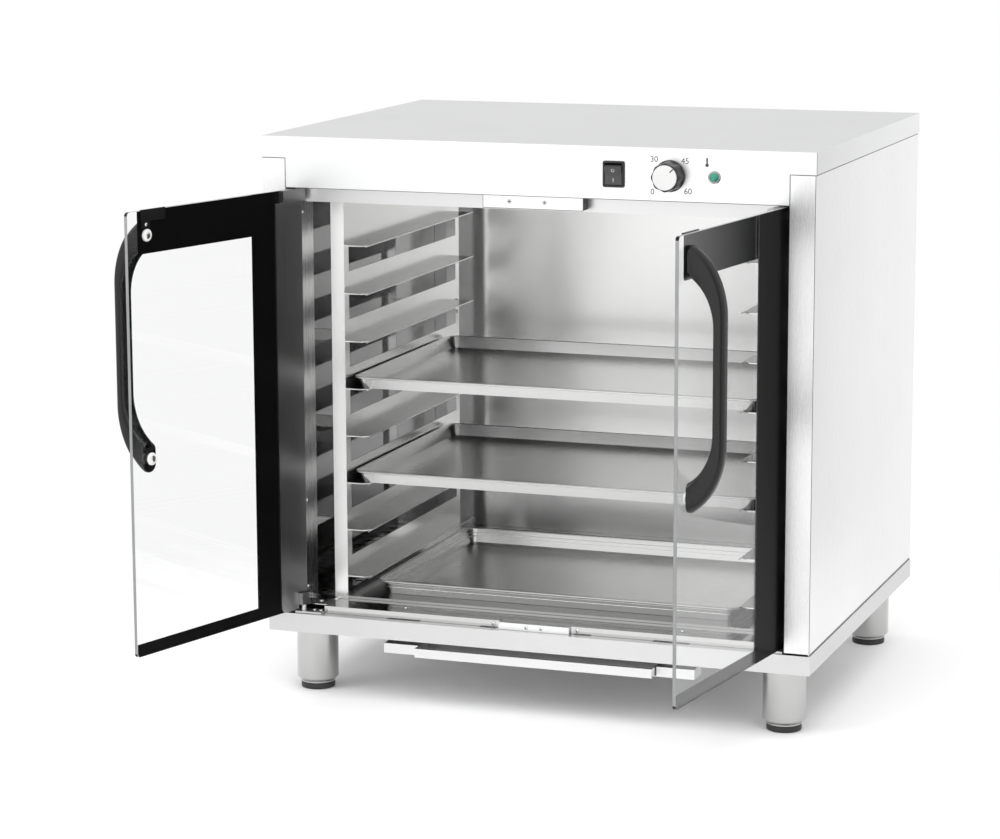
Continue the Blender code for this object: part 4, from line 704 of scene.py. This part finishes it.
wired(
    tree,
    (place, "Object", waves, "Vector"),
    (waves, "Fac", float_waves, "Height"),
    (float_waves, "Normal", shader, "Normal"),
    (path, "Is Shadow Ray", choose, "Fac"),
    (shader, "BSDF", choose, 1),
    (let_light, "BSDF", choose, 2),
    (choose, "Shader", tree.nodes["Material Output"], "Surface"),
)

print_black = moulded(
    "black enamel print", (0.004, 0.004, 0.004), roughness=0.30, speckle=1200, relief=0.00001, gloss=0.04,
    mark=0.03,
)
stile_steel = steel("brushed stile", (0.42, 0.42, 0.42), roughness=0.30, grain="z", mark=0.06)
hinge_steel = steel("dark hinge steel", (0.45, 0.45, 0.45), roughness=0.30, grain="z")

PIVOT_FROM_EDGE = 0.011
PIVOT_BEHIND = 0.0095
DOOR_WIDTH = 0.3594
DOOR_TURN = {"left": -106.2, "right": 82.1}


def door_place(side):
    """From a door's own measures (across from its hinge edge, behind its outer face, up) to the scene."""
    pivot = Vector(joints[side + "_door_hinge"]["pos_m"])
    across = 1 if side == "left" else -1
    return (
        Matrix.Translation((pivot.x, pivot.y, corner.z))
        @ Matrix.Rotation(math.radians(DOOR_TURN[side]), 4, "Z")
        @ Matrix.Scale(across, 4, (1, 0, 0))
        @ Matrix.Translation((-PIVOT_FROM_EDGE, -PIVOT_BEHIND, 0))
    )


GLASS_LOW, GLASS_HIGH = 0.0335, 0.6385
GLASS_THICK = 0.005
PRINT_HINGE, PRINT_TOP, PRINT_BOTTOM = 0.104, 0.058, 0.018
PRINT_STOP = 0.019
PRINT_ROUND = 0.005
PRINT_THICK = 0.0001
PRINT_GAP = 0.00008
PRINT_SIDE, PRINT_END, PRINT_FREE = 0.0020, 0.0002, 0.0004
PRINT_CUT_ACROSS, PRINT_CUT_UP = 0.0030, 0.0040
BAND_FROM, BAND_TO = -0.00010, -0.00004
print_inner_corner = [
    (
        DOOR_WIDTH - PRINT_STOP - PRINT_ROUND * (1 - math.cos(a)),
        GLASS_HIGH - PRINT_TOP + PRINT_ROUND * (1 - math.sin(a)),
    )
    for a in (math.pi / 2, math.pi / 3, math.pi / 6, 0)
]
print_outline = [
    (PRINT_SIDE, GLASS_LOW + PRINT_END),
    (DOOR_WIDTH - PRINT_CUT_ACROSS, GLASS_LOW + PRINT_END),
    (DOOR_WIDTH - PRINT_FREE, GLASS_LOW + PRINT_CUT_UP),
    (DOOR_WIDTH - PRINT_FREE, GLASS_LOW + PRINT_BOTTOM),
    (PRINT_HINGE, GLASS_LOW + PRINT_BOTTOM),
    (PRINT_HINGE, GLASS_HIGH - PRINT_TOP),
    *print_inner_corner,
    (DOOR_WIDTH - PRINT_STOP, GLASS_HIGH - PRINT_END),
    (PRINT_SIDE, GLASS_HIGH - PRINT_END),
]
BAND_SIDE = 0.0003
hinge_band = [
    (BAND_SIDE, GLASS_LOW + PRINT_END),
    (PRINT_HINGE, GLASS_LOW + PRINT_END),
    (PRINT_HINGE, GLASS_HIGH - PRINT_END),
    (BAND_SIDE, GLASS_HIGH - PRINT_END),
]
lie_upright = Matrix(((1, 0, 0, 0), (0, 0, 1, 0), (0, 1, 0, 0), (0, 0, 0, 1)))
edge_grey = moulded("ground glass edge", (0.30, 0.31, 0.31), roughness=0.35, speckle=1500, relief=0.00002)
EDGE_DEPTH = (0.0001, 0.0049)
EDGE_FILM = 0.0001
EDGE_STOP = 0.005
ground_edges = (
    ((DOOR_WIDTH, DOOR_WIDTH + EDGE_FILM), EDGE_DEPTH, (GLASS_LOW + EDGE_STOP, GLASS_HIGH - EDGE_STOP)),
    ((PRINT_SIDE, DOOR_WIDTH - EDGE_STOP), EDGE_DEPTH, (GLASS_HIGH, GLASS_HIGH + EDGE_FILM)),
    ((PRINT_SIDE, DOOR_WIDTH - EDGE_STOP), EDGE_DEPTH, (GLASS_LOW - EDGE_FILM, GLASS_LOW)),
)
for side in ("left", "right"):
    add_piece(
        side + "_door_ground_edge", slabs(ground_edges, per_metre=1), edge_grey, side + "_door",
        door_place(side),
    )
    dress([side + "_door_glass"], glass)
    dress([side + "_door_stile"], stile_steel, edge=0.0002)
    hinge_pieces = [side + piece for piece in ("_top_hinge_leaf", "_bottom_hinge_leaf", "_top_hinge_bracket")]
    dress(hinge_pieces, hinge_steel, edge=0.0004)
    dress([side + "_bottom_hinge_bracket"], bracket_steel, edge=0.0003)
    border = extrude(print_outline, GLASS_THICK + PRINT_GAP, GLASS_THICK + PRINT_GAP + PRINT_THICK)
    add_piece(
        side + "_door_print", border, print_black, side + "_door", door_place(side) @ lie_upright,
    )
    band = extrude(hinge_band, BAND_FROM, BAND_TO)
    add_piece(
        side + "_door_hinge_band", band, print_black, side + "_door", door_place(side) @ lie_upright,
    )
add_screws(
    "bottom_bracket_screws",
    [at(x, 17, 30.3 + SEAT) for x in (64, 74, 726, 736)],
    (0, 0, 1),
    SMALL_SCREW_RADIUS,
    "cabinet",
)


# The door handles: a moulded black bow on each door, hollow towards the hand, with a rounded foot at each
# end. Two screws hold it from inside through the glass, each under a bright cap with a hexagon socket.
HANDLE_FROM_EDGE = 0.0366
HANDLE_HALF_WIDTH = 0.0125
BOLT_LEVELS = (0.6053, 0.3023)
HANDLE_END = 0.019
HANDLE_FOOT = 0.039
HANDLE_REACH = 0.049
HANDLE_THICK = 0.015
HANDLE_TIP = 0.004
FOOT_SEAT = -0.0003
OUTER_RISE, INNER_RISE = 0.090, 0.065
GRIP_ROUND_OUT, GRIP_ROUND_IN = 0.0088, 0.0035
FOOT_ROUNDER_OUT, FOOT_ROUNDER_IN = 0.0032, 0.0050
GRIP_NARROWER = 0.0022
CHANNEL_HALF, CHANNEL_DEPTH, CHANNEL_SLOPE = 0.0068, 0.0050, 0.0012
ROUND_STEPS = 6
BEND_START = math.radians(25)
BEND_STEPS = 20
handle_black = moulded(
    "satin black handle", (0.010, 0.010, 0.010), roughness=0.22, speckle=2200, relief=0.00002, gloss=0.36,
    mark=0.03,
)
socket_painted_shade = moulded("socket shadow", (0.05, 0.05, 0.05), roughness=0.5, speckle=900, relief=0.00002)
washer_white = moulded("pale cap", (0.86, 0.86, 0.85), roughness=0.35, speckle=1500, relief=0.00001)


def bow_side(start_w, start_z, rise_w, rise_z):
    """One side of the bow from a foot to the grip: part of an ellipse that ends parallel to the glass."""
    points = []
    for i in range(BEND_STEPS + 1):
        angle = BEND_START + (math.pi / 2 - BEND_START) * i / BEND_STEPS
        share_w = (math.sin(angle) - math.sin(BEND_START)) / (1 - math.sin(BEND_START))
        share_z = (math.cos(BEND_START) - math.cos(angle)) / math.cos(BEND_START)
        points.append((start_w - rise_w * share_w, start_z - rise_z * share_z))
    return points


def handle_bow():
    """The bow in a door's own measures: sections with round corners and a channel in their inner side."""
    face = FOOT_SEAT
    top, middle = BOLT_LEVELS[0] + HANDLE_END, sum(BOLT_LEVELS) / 2
    outer = [(face, top), *bow_side(face - HANDLE_TIP, top, HANDLE_REACH - HANDLE_TIP, OUTER_RISE)]
    foot_top = top - HANDLE_FOOT
    inner = [(face, foot_top), *bow_side(face, foot_top, HANDLE_REACH - HANDLE_THICK, INNER_RISE)]
    outer += [(w, 2 * middle - z) for w, z in reversed(outer)]
    inner += [(w, 2 * middle - z) for w, z in reversed(inner)]
    count = len(outer)
    rings = []
    for i, (o, n) in enumerate(zip(outer, inner)):
        o, n = Vector(o), Vector(n)
        depth = (n - o).length
        inward = (n - o).normalized()
        share = min(i, count - 1 - i) / (count / 2)
        foot = max(0.0, 1 - share * 5)
        corner_out = GRIP_ROUND_OUT + FOOT_ROUNDER_OUT * foot
        corner_in = min(GRIP_ROUND_IN + FOOT_ROUNDER_IN * foot, depth * 0.4)
        half_width = HANDLE_HALF_WIDTH - GRIP_NARROWER * (1 - foot)
        dig = min(CHANNEL_DEPTH, depth * 0.35)
        floor_half = CHANNEL_HALF - CHANNEL_SLOPE
        channel = [
            (CHANNEL_HALF, depth), (floor_half, depth - dig),
            (-floor_half, depth - dig), (-CHANNEL_HALF, depth),
        ]
        corners = ((1, corner_in), (-1, corner_in), (-1, corner_out), (1, corner_out))
        section = []
        for quarter, (side, radius) in enumerate(corners):
            along = depth - radius if quarter < 2 else radius
            start = (0.0, 0.5, 1.0, 1.5)[quarter] * math.pi
            for k in range(ROUND_STEPS + 1):
                angle = start + math.pi / 2 * k / ROUND_STEPS
                across_part = side * (half_width - radius) + radius * math.cos(angle)
                along_part = along + radius * math.sin(angle)
                section.append((across_part, along_part))
            if quarter == 0:
                section += channel
        ring = []
        for across_part, along_part in section:
            spot = o + inward * along_part
            ring.append((DOOR_WIDTH - HANDLE_FROM_EDGE + across_part, spot.x, spot.y))
        rings.append(ring)
    return loft(rings)


CAP_PROFILE = [
    (0, -0.0095), (0.0029, -0.0095), (0.0029, 0.0003), (0.0085, 0.0003), (0.0085, 0.0020), (0.0081, 0.0028),
    (0.0071, 0.0032), (0.0052, 0.0033), (0, 0.0033),
]
SOCKET_RADIUS, SOCKET_FROM, SOCKET_TO = 0.0022, 0.0040, 0.00405
CAP_SIDES = 48
BOLT_HEAD = [(0, 0.0032), (0.0048, 0.0032), (0.0048, 0.0036), (0.0041, 0.0040), (0, 0.0040)]


def bolt_cap():
    """A screw with its cap: a round flange and a head with a hexagon socket, seated on the inner face."""
    washer = lathe(CAP_PROFILE, CAP_SIDES)
    head = lathe(BOLT_HEAD, CAP_SIDES)
    # The socket is a flat near-black hexagon laid on the head: painted shade.
    turns = [math.pi / 3 * k for k in range(6)]
    socket = [(SOCKET_RADIUS * math.cos(a), SOCKET_RADIUS * math.sin(a)) for a in turns]
    hexagon = extrude(socket, SOCKET_FROM, SOCKET_TO)
    for part, finish in ((head, 1), (hexagon, 2)):
        for face in part.faces:
            face.material_index = finish
    return joined([washer, head, hexagon])


STRIKE_SCREW_RADIUS = 0.0024
STRIKE_SCREW_FROM_EDGE, STRIKE_SCREW_OUT, STRIKE_SCREW_LEVEL = 0.0337, 0.0029, 0.6200
seat_turn = Matrix.Rotation(-math.pi / 2, 4, "X")
for side in ("left", "right"):
    body = side + "_door"
    add_piece(
        side + "_handle_bow", handle_bow(), handle_black, body, door_place(side), sharp=40,
        instead_of=[side + "_door_handle"],
    )
    dress([side + "_strike_plate"], handle_black, edge=0.0004)
    for which, level in zip(("upper", "lower"), BOLT_LEVELS):
        seat = Matrix.Translation((DOOR_WIDTH - HANDLE_FROM_EDGE, GLASS_THICK, level))
        place = door_place(side) @ seat @ seat_turn
        add_piece(
            f"{side}_{which}_bolt_cap", bolt_cap(), [washer_white, bright_steel, socket_painted_shade], body, place,
            sharp=30, instead_of=[f"{side}_{which}_handle_screw"],
        )
    screw = pan_head(STRIKE_SCREW_RADIUS)
    seat = Matrix.Translation(
        (DOOR_WIDTH - STRIKE_SCREW_FROM_EDGE, GLASS_THICK + STRIKE_SCREW_OUT, STRIKE_SCREW_LEVEL)
    )
    place = door_place(side) @ seat @ seat_turn
    add_piece(side + "_strike_screw", screw, [bright_steel, recess_black], body, place)


# The rocker switch: a moulded black frame snapped into the fascia, and a rocker that tips in it, marked with
# a ring at one end and a bar at the other.
SWITCH = (519, 675.6)
ROCKER_PIVOT_BEHIND = 4
ROCKER_TILT = math.radians(10)
switch_black = moulded("moulded black", (0.018, 0.018, 0.018), roughness=0.34, speckle=2600, relief=0.00004)
rocker_grey = moulded("rocker black", (0.055, 0.055, 0.055), roughness=0.38, speckle=2600, relief=0.00004)
mark_white = moulded("printed white", (0.80, 0.80, 0.80), roughness=0.5, speckle=1500, relief=0.00001)
# The frame's rings: half width, half height, corner radius and height over the fascia, in millimetres.
switch_rings = [
    (13.5, 16.0, 1.0, -26), (13.5, 16.0, 1.0, 0.3), (15.5, 18.0, 3.0, 0.3), (15.5, 18.0, 3.0, 1.6),
    (15.2, 17.7, 2.8, 2.3), (14.6, 17.1, 2.4, 2.8), (12.9, 15.4, 1.4, 2.8), (12.5, 15.0, 1.0, 2.3),
    (12.5, 15.0, 1.0, -11),
]
rings = []
for half_u, half_v, radius, level in switch_rings:
    ring = rounded_outline(half_u / 1000, half_v / 1000, radius / 1000, 5)
    rings.append([(u, v, level / 1000) for u, v in ring])
add_piece(
    "switch_frame", loft(rings), switch_black, "cabinet", facing(at(SWITCH[0], 0, SWITCH[1]), (0, -1, 0)),
    sharp=30, instead_of=["switch_body"],
)
dress(["switch_rocker"], rocker_grey, edge=0.0006, segments=3)
rocker = (
    Matrix.Translation(at(SWITCH[0], ROCKER_PIVOT_BEHIND, SWITCH[1])) @ Matrix.Rotation(ROCKER_TILT, 4, "X")
)
MARK_THICK, MARK_GAP = 0.0001, 0.00006
RING_OUTER, RING_INNER = 0.0023, 0.0017
BAR_HALF_U, BAR_HALF_V = 0.0004, 0.0024
ROCKER_FACE, ROCKER_RISE, ROCKER_HALF = 0.0072, 0.0020, 0.01275
FACE_OUT, FACE_LEAN = 0.988, 0.155
turns = [2 * math.pi * i / 32 for i in range(32)]
ring_mark = loft(
    [
        [(r * math.cos(a), r * math.sin(a), h) for a in turns]
        for r, h in ((RING_OUTER, 0), (RING_OUTER, MARK_THICK), (RING_INNER, MARK_THICK), (RING_INNER, 0))
    ],
    closed=True,
)
u, v = BAR_HALF_U, BAR_HALF_V
bar_mark = extrude([(-u, -v), (u, -v), (u, v), (-u, v)], 0, MARK_THICK)
MARKS = (("ring", ring_mark, 0.0068, -FACE_LEAN), ("bar", bar_mark, -0.0064, FACE_LEAN))
for name, mark, height, lean in MARKS:
    out = Vector((0, -FACE_OUT, lean))
    depth = -ROCKER_FACE - ROCKER_RISE * abs(height) / ROCKER_HALF - MARK_GAP
    place = rocker @ facing(Vector((0, depth, height)), out)
    add_piece("switch_" + name + "_mark", mark, mark_white, "switch_rocker", place)


# The thermostat knob: a scalloped black collar that narrows to its face, and a pale disc set into it with a
# black pointer line. Numbers in grey print stand round it, and the pictogram is a plain thermometer.
KNOB = (598, 675.6)
LOBES = 8
KNOB_SIDES = 160
# The collar's rings: radius, height over the fascia and depth of the scallops, in millimetres.
knob_rings = [
    (0, 14.4, 0), (3.6, 14.4, 0), (3.6, 0.4, 0), (21.2, 0.4, 0), (21.5, 0.8, 0), (21.5, 2.9, 0),
    (21.2, 3.3, 0), (21.0, 3.5, 0.9), (20.9, 4.2, 1.4), (20.3, 13.0, 1.4), (19.6, 23.6, 1.4),
    (19.3, 24.7, 1.3), (18.8, 25.3, 1.0), (18.3, 25.4, 0.6), (17.4, 25.4, 0), (17.3, 25.2, 0),
    (17.3, 23.9, 0), (0, 23.9, 0),
]
rings = []
for widest, level, flute in knob_rings:
    if widest == 0:
        rings.append([(0, 0, level / 1000)])
        continue
    ring = []
    for i in range(KNOB_SIDES):
        angle = 2 * math.pi * i / KNOB_SIDES
        radius = (widest - flute * math.sin(angle * LOBES / 2) ** 2) / 1000
        ring.append((radius * math.cos(angle), radius * math.sin(angle), level / 1000))
    rings.append(ring)
knob_place = facing(at(KNOB[0], 0, KNOB[1]), (0, -1, 0))
add_piece(
    "knob_collar", loft(rings), switch_black, "thermostat_knob", knob_place, sharp=28,
    instead_of=["thermostat_knob"],
)
disc_steel = steel("spun disc", (0.80, 0.80, 0.795), roughness=0.42, grain="x", mark=0.05)
DISC_PROFILE = [
    (0, 0.0242), (0.0169, 0.0242), (0.0170, 0.0258), (0.0167, 0.0263), (0.0161, 0.0264), (0, 0.0264),
]
add_piece(
    "knob_disc", lathe(DISC_PROFILE, TURNED_SIDES), disc_steel, "thermostat_knob", knob_place, sharp=30,
    instead_of=["knob_cap"],
)
POINTER = ((0.0104, 0.0165), (-0.0008, 0.0008), (0.02638, 0.02652))
POINTER_TURN = math.radians(45)
add_piece(
    "knob_pointer", slabs([POINTER], per_metre=1), switch_black, "thermostat_knob",
    knob_place @ Matrix.Rotation(POINTER_TURN, 4, "Z"),
)
dress(
    ["thermostat_body"],
    moulded("grey polyamide", (0.35, 0.35, 0.34), roughness=0.5, speckle=800, relief=0.00004),
)
dress(["heating_element"], hinge_steel)

print_grey = moulded("grey dial print", (0.06, 0.06, 0.06), roughness=0.5, speckle=1500, relief=0.00001)
DIGIT_SIZE, DIGIT_THICK, DIGIT_BEFORE = 0.0112, 0.00004, -0.06
DIAL_NUMBERS = (("0", 573.6, 653.5), ("30", 575.7, 697.4), ("45", 619.1, 696.1), ("60", 623.3, 655.3))
for digits, x, z in DIAL_NUMBERS:
    curve = bpy.data.curves.new("dial_" + digits, "FONT")
    curve.body = digits
    curve.size = DIGIT_SIZE
    curve.align_x = "CENTER"
    curve.align_y = "CENTER"
    curve.extrude = DIGIT_THICK
    helper = bpy.data.objects.new("digits", curve)
    bpy.context.scene.collection.objects.link(helper)
    graph = bpy.context.evaluated_depsgraph_get()
    flat = bmesh.new()
    flat.from_mesh(helper.evaluated_get(graph).to_mesh())
    bpy.data.objects.remove(helper, do_unlink=True)
    place = facing(at(x, DIGIT_BEFORE, z), (0, -1, 0))
    add_piece("dial_number_" + digits, flat, print_grey, "cabinet", place)

STEM_RADIUS, STEM_TOP = 0.0012, 0.0048
BULB_RADIUS, BULB_LEVEL = 0.0025, -0.0040
THERMOMETER = (649.6, -0.03, 695.7)
SYMBOL_THICK = 0.00006
stem_turns = [math.pi * k / 8 for k in range(9)]
bulb_turns = [math.pi * (0.65 + 1.70 * k / 14) for k in range(15)]
stem = [(STEM_RADIUS * math.cos(a), STEM_TOP + STEM_RADIUS * math.sin(a)) for a in stem_turns]
bulb = [(BULB_RADIUS * math.cos(a), BULB_LEVEL + BULB_RADIUS * math.sin(a)) for a in bulb_turns]
symbol = extrude(stem + bulb, 0, SYMBOL_THICK)
place = facing(at(*THERMOMETER), (0, -1, 0))
add_piece("thermometer_print", symbol, print_grey, "cabinet", place)


# The pilot lamp: a green lens in a bright ring, with its threaded body and nut behind the fascia.
LAMP = (660, 675.6)
LAMP_SIDES = 64
lamp_holder = [
    (0, 0.0012), (0.0062, 0.0012), (0.0064, 0.0022), (0.0074, 0.0024), (0.0083, 0.0016), (0.0086, 0.0003),
    (0.0052, 0.0003), (0.0052, -0.0015), (0.0090, -0.0015), (0.0090, -0.0055), (0.0048, -0.0055),
    (0.0048, -0.0235), (0, -0.0235),
]
lamp_lens = [
    (0, 0.0013), (0.0061, 0.0013), (0.0061, 0.0026), (0.0057, 0.0038), (0.0046, 0.0050), (0.0026, 0.0057),
    (0, 0.0059),
]
ring_steel = steel("dark bright ring", (0.42, 0.42, 0.42), roughness=0.12, grain="", mark=0.02)
lens_green = moulded("green lens", (0.02, 0.30, 0.20), roughness=0.10, speckle=300, relief=0.00002, mark=0.03)
lens_green.node_tree.nodes["Principled BSDF"].inputs["Coat Weight"].default_value = 0.6
lamp_place = facing(at(LAMP[0], 0, LAMP[1]), (0, -1, 0))
add_piece(
    "lamp_ring", lathe(lamp_holder, LAMP_SIDES), ring_steel, "cabinet", lamp_place, sharp=30,
    instead_of=["pilot_lamp"],
)
add_piece(
    "lamp_lens", lathe(lamp_lens, LAMP_SIDES), lens_green, "cabinet", lamp_place, sharp=40,
    instead_of=["pilot_lamp"],
)


# The drip tray: a folded gutter that hangs on two folded brackets under the front of the base. The cable
# gland is moulded black, in the back panel.
# The level faces of the gutter and its brackets are painted at 0.22 of their colour: painted shade.
drip_steel = steel("satin gutter sheet", (0.78, 0.78, 0.78), roughness=0.30, grain="x", level_painted_light_and_shade=0.22)
dress(["drip_tray", "left_drip_tray_bracket", "right_drip_tray_bracket"], drip_steel, FOLD_ROUND)
dress(["cable_gland"], switch_black, edge=0.0004)


# The studio: a pale floor that runs into white, a white surround that reflections show a little dimmer behind
# the cabinet, and soft light from above and both sides. Five screens, which the camera doesn't see, stand in
# for the cards that are set round polished steel.
ROOM_LIGHT = 0.62
REAR_LIGHT = 0.86
REAR_TOWARDS = (-0.24, 0.95, 0.18)
REAR_FROM, REAR_TO = 0.84, 0.97
FLOOR_SIZE = 60.0
FLOOR_BELOW = 0.0003
WHITE_FROM, WHITE_TO = 0.30, 1.10

floor_white = bpy.data.materials.new("pale floor")
floor_white.use_nodes = True
tree = floor_white.node_tree
shader = tree.nodes["Principled BSDF"]
shader.inputs["Base Color"].default_value = (0.97, 0.97, 0.97, 1)
shader.inputs["Roughness"].default_value = 0.9
shader.inputs["Specular IOR Level"].default_value = 0.1
place = tree.nodes.new("ShaderNodeTexCoord")
reach = added(tree, "ShaderNodeVectorMath", operation="LENGTH")
fade = added(
    tree, "ShaderNodeMapRange",
    {"From Min": WHITE_FROM, "From Max": WHITE_TO}, interpolation_type="SMOOTHSTEP",
)
white = added(tree, "ShaderNodeEmission", {"Strength": 1.0})
blend = tree.nodes.new("ShaderNodeMixShader")
wired(
    tree,
    (place, "Object", reach, 0),
    (reach, "Value", fade, "Value"),
    (fade, "Result", blend, "Fac"),
    (shader, "BSDF", blend, 1),
    (white, "Emission", blend, 2),
    (blend, "Shader", tree.nodes["Material Output"], "Surface"),
)
floor_mesh = bpy.data.meshes.new("studio_floor")
half = FLOOR_SIZE / 2
ends = [(-half, -half, 0), (half, -half, 0), (half, half, 0), (-half, half, 0)]
floor_mesh.from_pydata(ends, [], [(0, 1, 2, 3)])
floor_mesh.materials.append(floor_white)
studio_floor = bpy.data.objects.new("studio_floor", floor_mesh)
bpy.context.scene.collection.objects.link(studio_floor)
studio_floor.location.z = -FLOOR_BELOW
studio_floor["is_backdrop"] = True

# Each screen: name, left foot, right foot, lower and upper height, brightness, and the part across it that is
# whole. Beyond that it fades. Light mirrored inside the door glass sees the black one on its way out.
SCREENS = (
    ("black_screen_right_rear", (0.88, 1.00), (1.33, 1.00), 0.0, 1.5, 0.01, (0.15, 0.58)),
    ("grey_screen_front_right", (0.66, -1.40), (1.60, -1.10), 0.0, 1.6, 0.45, (0.14, 0.86)),
    ("white_screen_middle", (-0.70, -1.40), (0.62, -1.42), 0.0, 1.8, 1.30, (0.06, 0.90)),
    ("grey_screen_front_left", (-1.60, -1.25), (-0.63, -1.39), 0.0, 0.45, 0.20, (0.10, 0.93)),
    ("white_screen_front_left", (-1.60, -1.30), (-0.60, -1.43), 0.45, 1.8, 1.30, (0.10, 0.98)),
)
for name, (x0, y0), (x1, y1), z0, z1, tone, whole in SCREENS:
    card = bpy.data.materials.new(name)
    card.use_nodes = True
    tree = card.node_tree
    tree.nodes.remove(tree.nodes["Principled BSDF"])
    shine = added(tree, "ShaderNodeEmission", {"Strength": tone})
    clear = tree.nodes.new("ShaderNodeBsdfTransparent")
    across = tree.nodes.new("ShaderNodeTexCoord")
    split = tree.nodes.new("ShaderNodeSeparateXYZ")
    soft = tree.nodes.new("ShaderNodeValToRGB")
    soft.color_ramp.elements[0].color = (0, 0, 0, 1)
    soft.color_ramp.elements[1].color = (0, 0, 0, 1)
    for place in whole:
        soft.color_ramp.elements.new(place).color = (1, 1, 1, 1)
    veil = tree.nodes.new("ShaderNodeMixShader")
    wired(
        tree,
        (across, "Generated", split, "Vector"),
        (split, "X", soft, "Fac"),
        (soft, "Color", veil, "Fac"),
        (clear, "BSDF", veil, 1),
        (shine, "Emission", veil, 2),
        (veil, "Shader", tree.nodes["Material Output"], "Surface"),
    )
    sheet = bpy.data.meshes.new(name)
    sheet.from_pydata([(x0, y0, z0), (x1, y1, z0), (x1, y1, z1), (x0, y0, z1)], [], [(0, 1, 2, 3)])
    sheet.materials.append(card)
    screen = bpy.data.objects.new(name, sheet)
    bpy.context.scene.collection.objects.link(screen)
    screen.visible_camera = False
    screen.visible_diffuse = False
    screen.visible_transmission = name.startswith("black")
    screen.visible_shadow = False
    screen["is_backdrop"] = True

world = bpy.data.worlds.new("studio")
bpy.context.scene.world = world
world.use_nodes = True
tree = world.node_tree
surround = tree.nodes["Background"]
surround.inputs["Color"].default_value = (1, 1, 1, 1)
path = tree.nodes.new("ShaderNodeLightPath")
direction = tree.nodes.new("ShaderNodeTexCoord")
towards = added(tree, "ShaderNodeVectorMath", {1: REAR_TOWARDS}, operation="DOT_PRODUCT")
rear = added(
    tree, "ShaderNodeMapRange",
    {
        "From Min": REAR_FROM,
        "From Max": REAR_TO,
        "To Min": 1.0,
        "To Max": REAR_LIGHT,
    },
    interpolation_type="SMOOTHSTEP",
)
mirrored = added(tree, "ShaderNodeMix", {"A": ROOM_LIGHT})
seen = added(tree, "ShaderNodeMath", operation="MAXIMUM")
level = added(tree, "ShaderNodeMix", {"B": 1.0})
wired(
    tree,
    (direction, "Generated", towards, 0),
    (towards, "Value", rear, "Value"),
    (path, "Is Glossy Ray", mirrored, "Factor"),
    (rear, "Result", mirrored, "B"),
    (path, "Is Camera Ray", seen, 0),
    (path, "Is Transmission Ray", seen, 1),
    (seen, "Value", level, "Factor"),
    (mirrored, "Result", level, "A"),
    (level, "Result", surround, "Strength"),
)

LAMP_AIM = Vector((0, 0.1, 0.4))
LAMPS = (
    ("overhead", (0.0, -0.6, 4.2), 5.0, 170),
    ("left_front", (-3.6, -3.2, 2.4), 2.6, 60),
    ("right_front", (3.4, -3.0, 2.6), 2.6, 45),
)
for name, place, size, watts in LAMPS:
    light = bpy.data.lights.new(name, "AREA")
    light.shape = "SQUARE"
    light.size = size
    light.energy = watts
    lamp = bpy.data.objects.new(name, light)
    bpy.context.scene.collection.objects.link(lamp)
    lamp.location = place
    lamp.rotation_euler = (LAMP_AIM - Vector(place)).to_track_quat("-Z", "Y").to_euler()
    lamp.visible_glossy = False

bpy.context.scene.view_settings.view_transform = "Standard"

low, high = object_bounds()
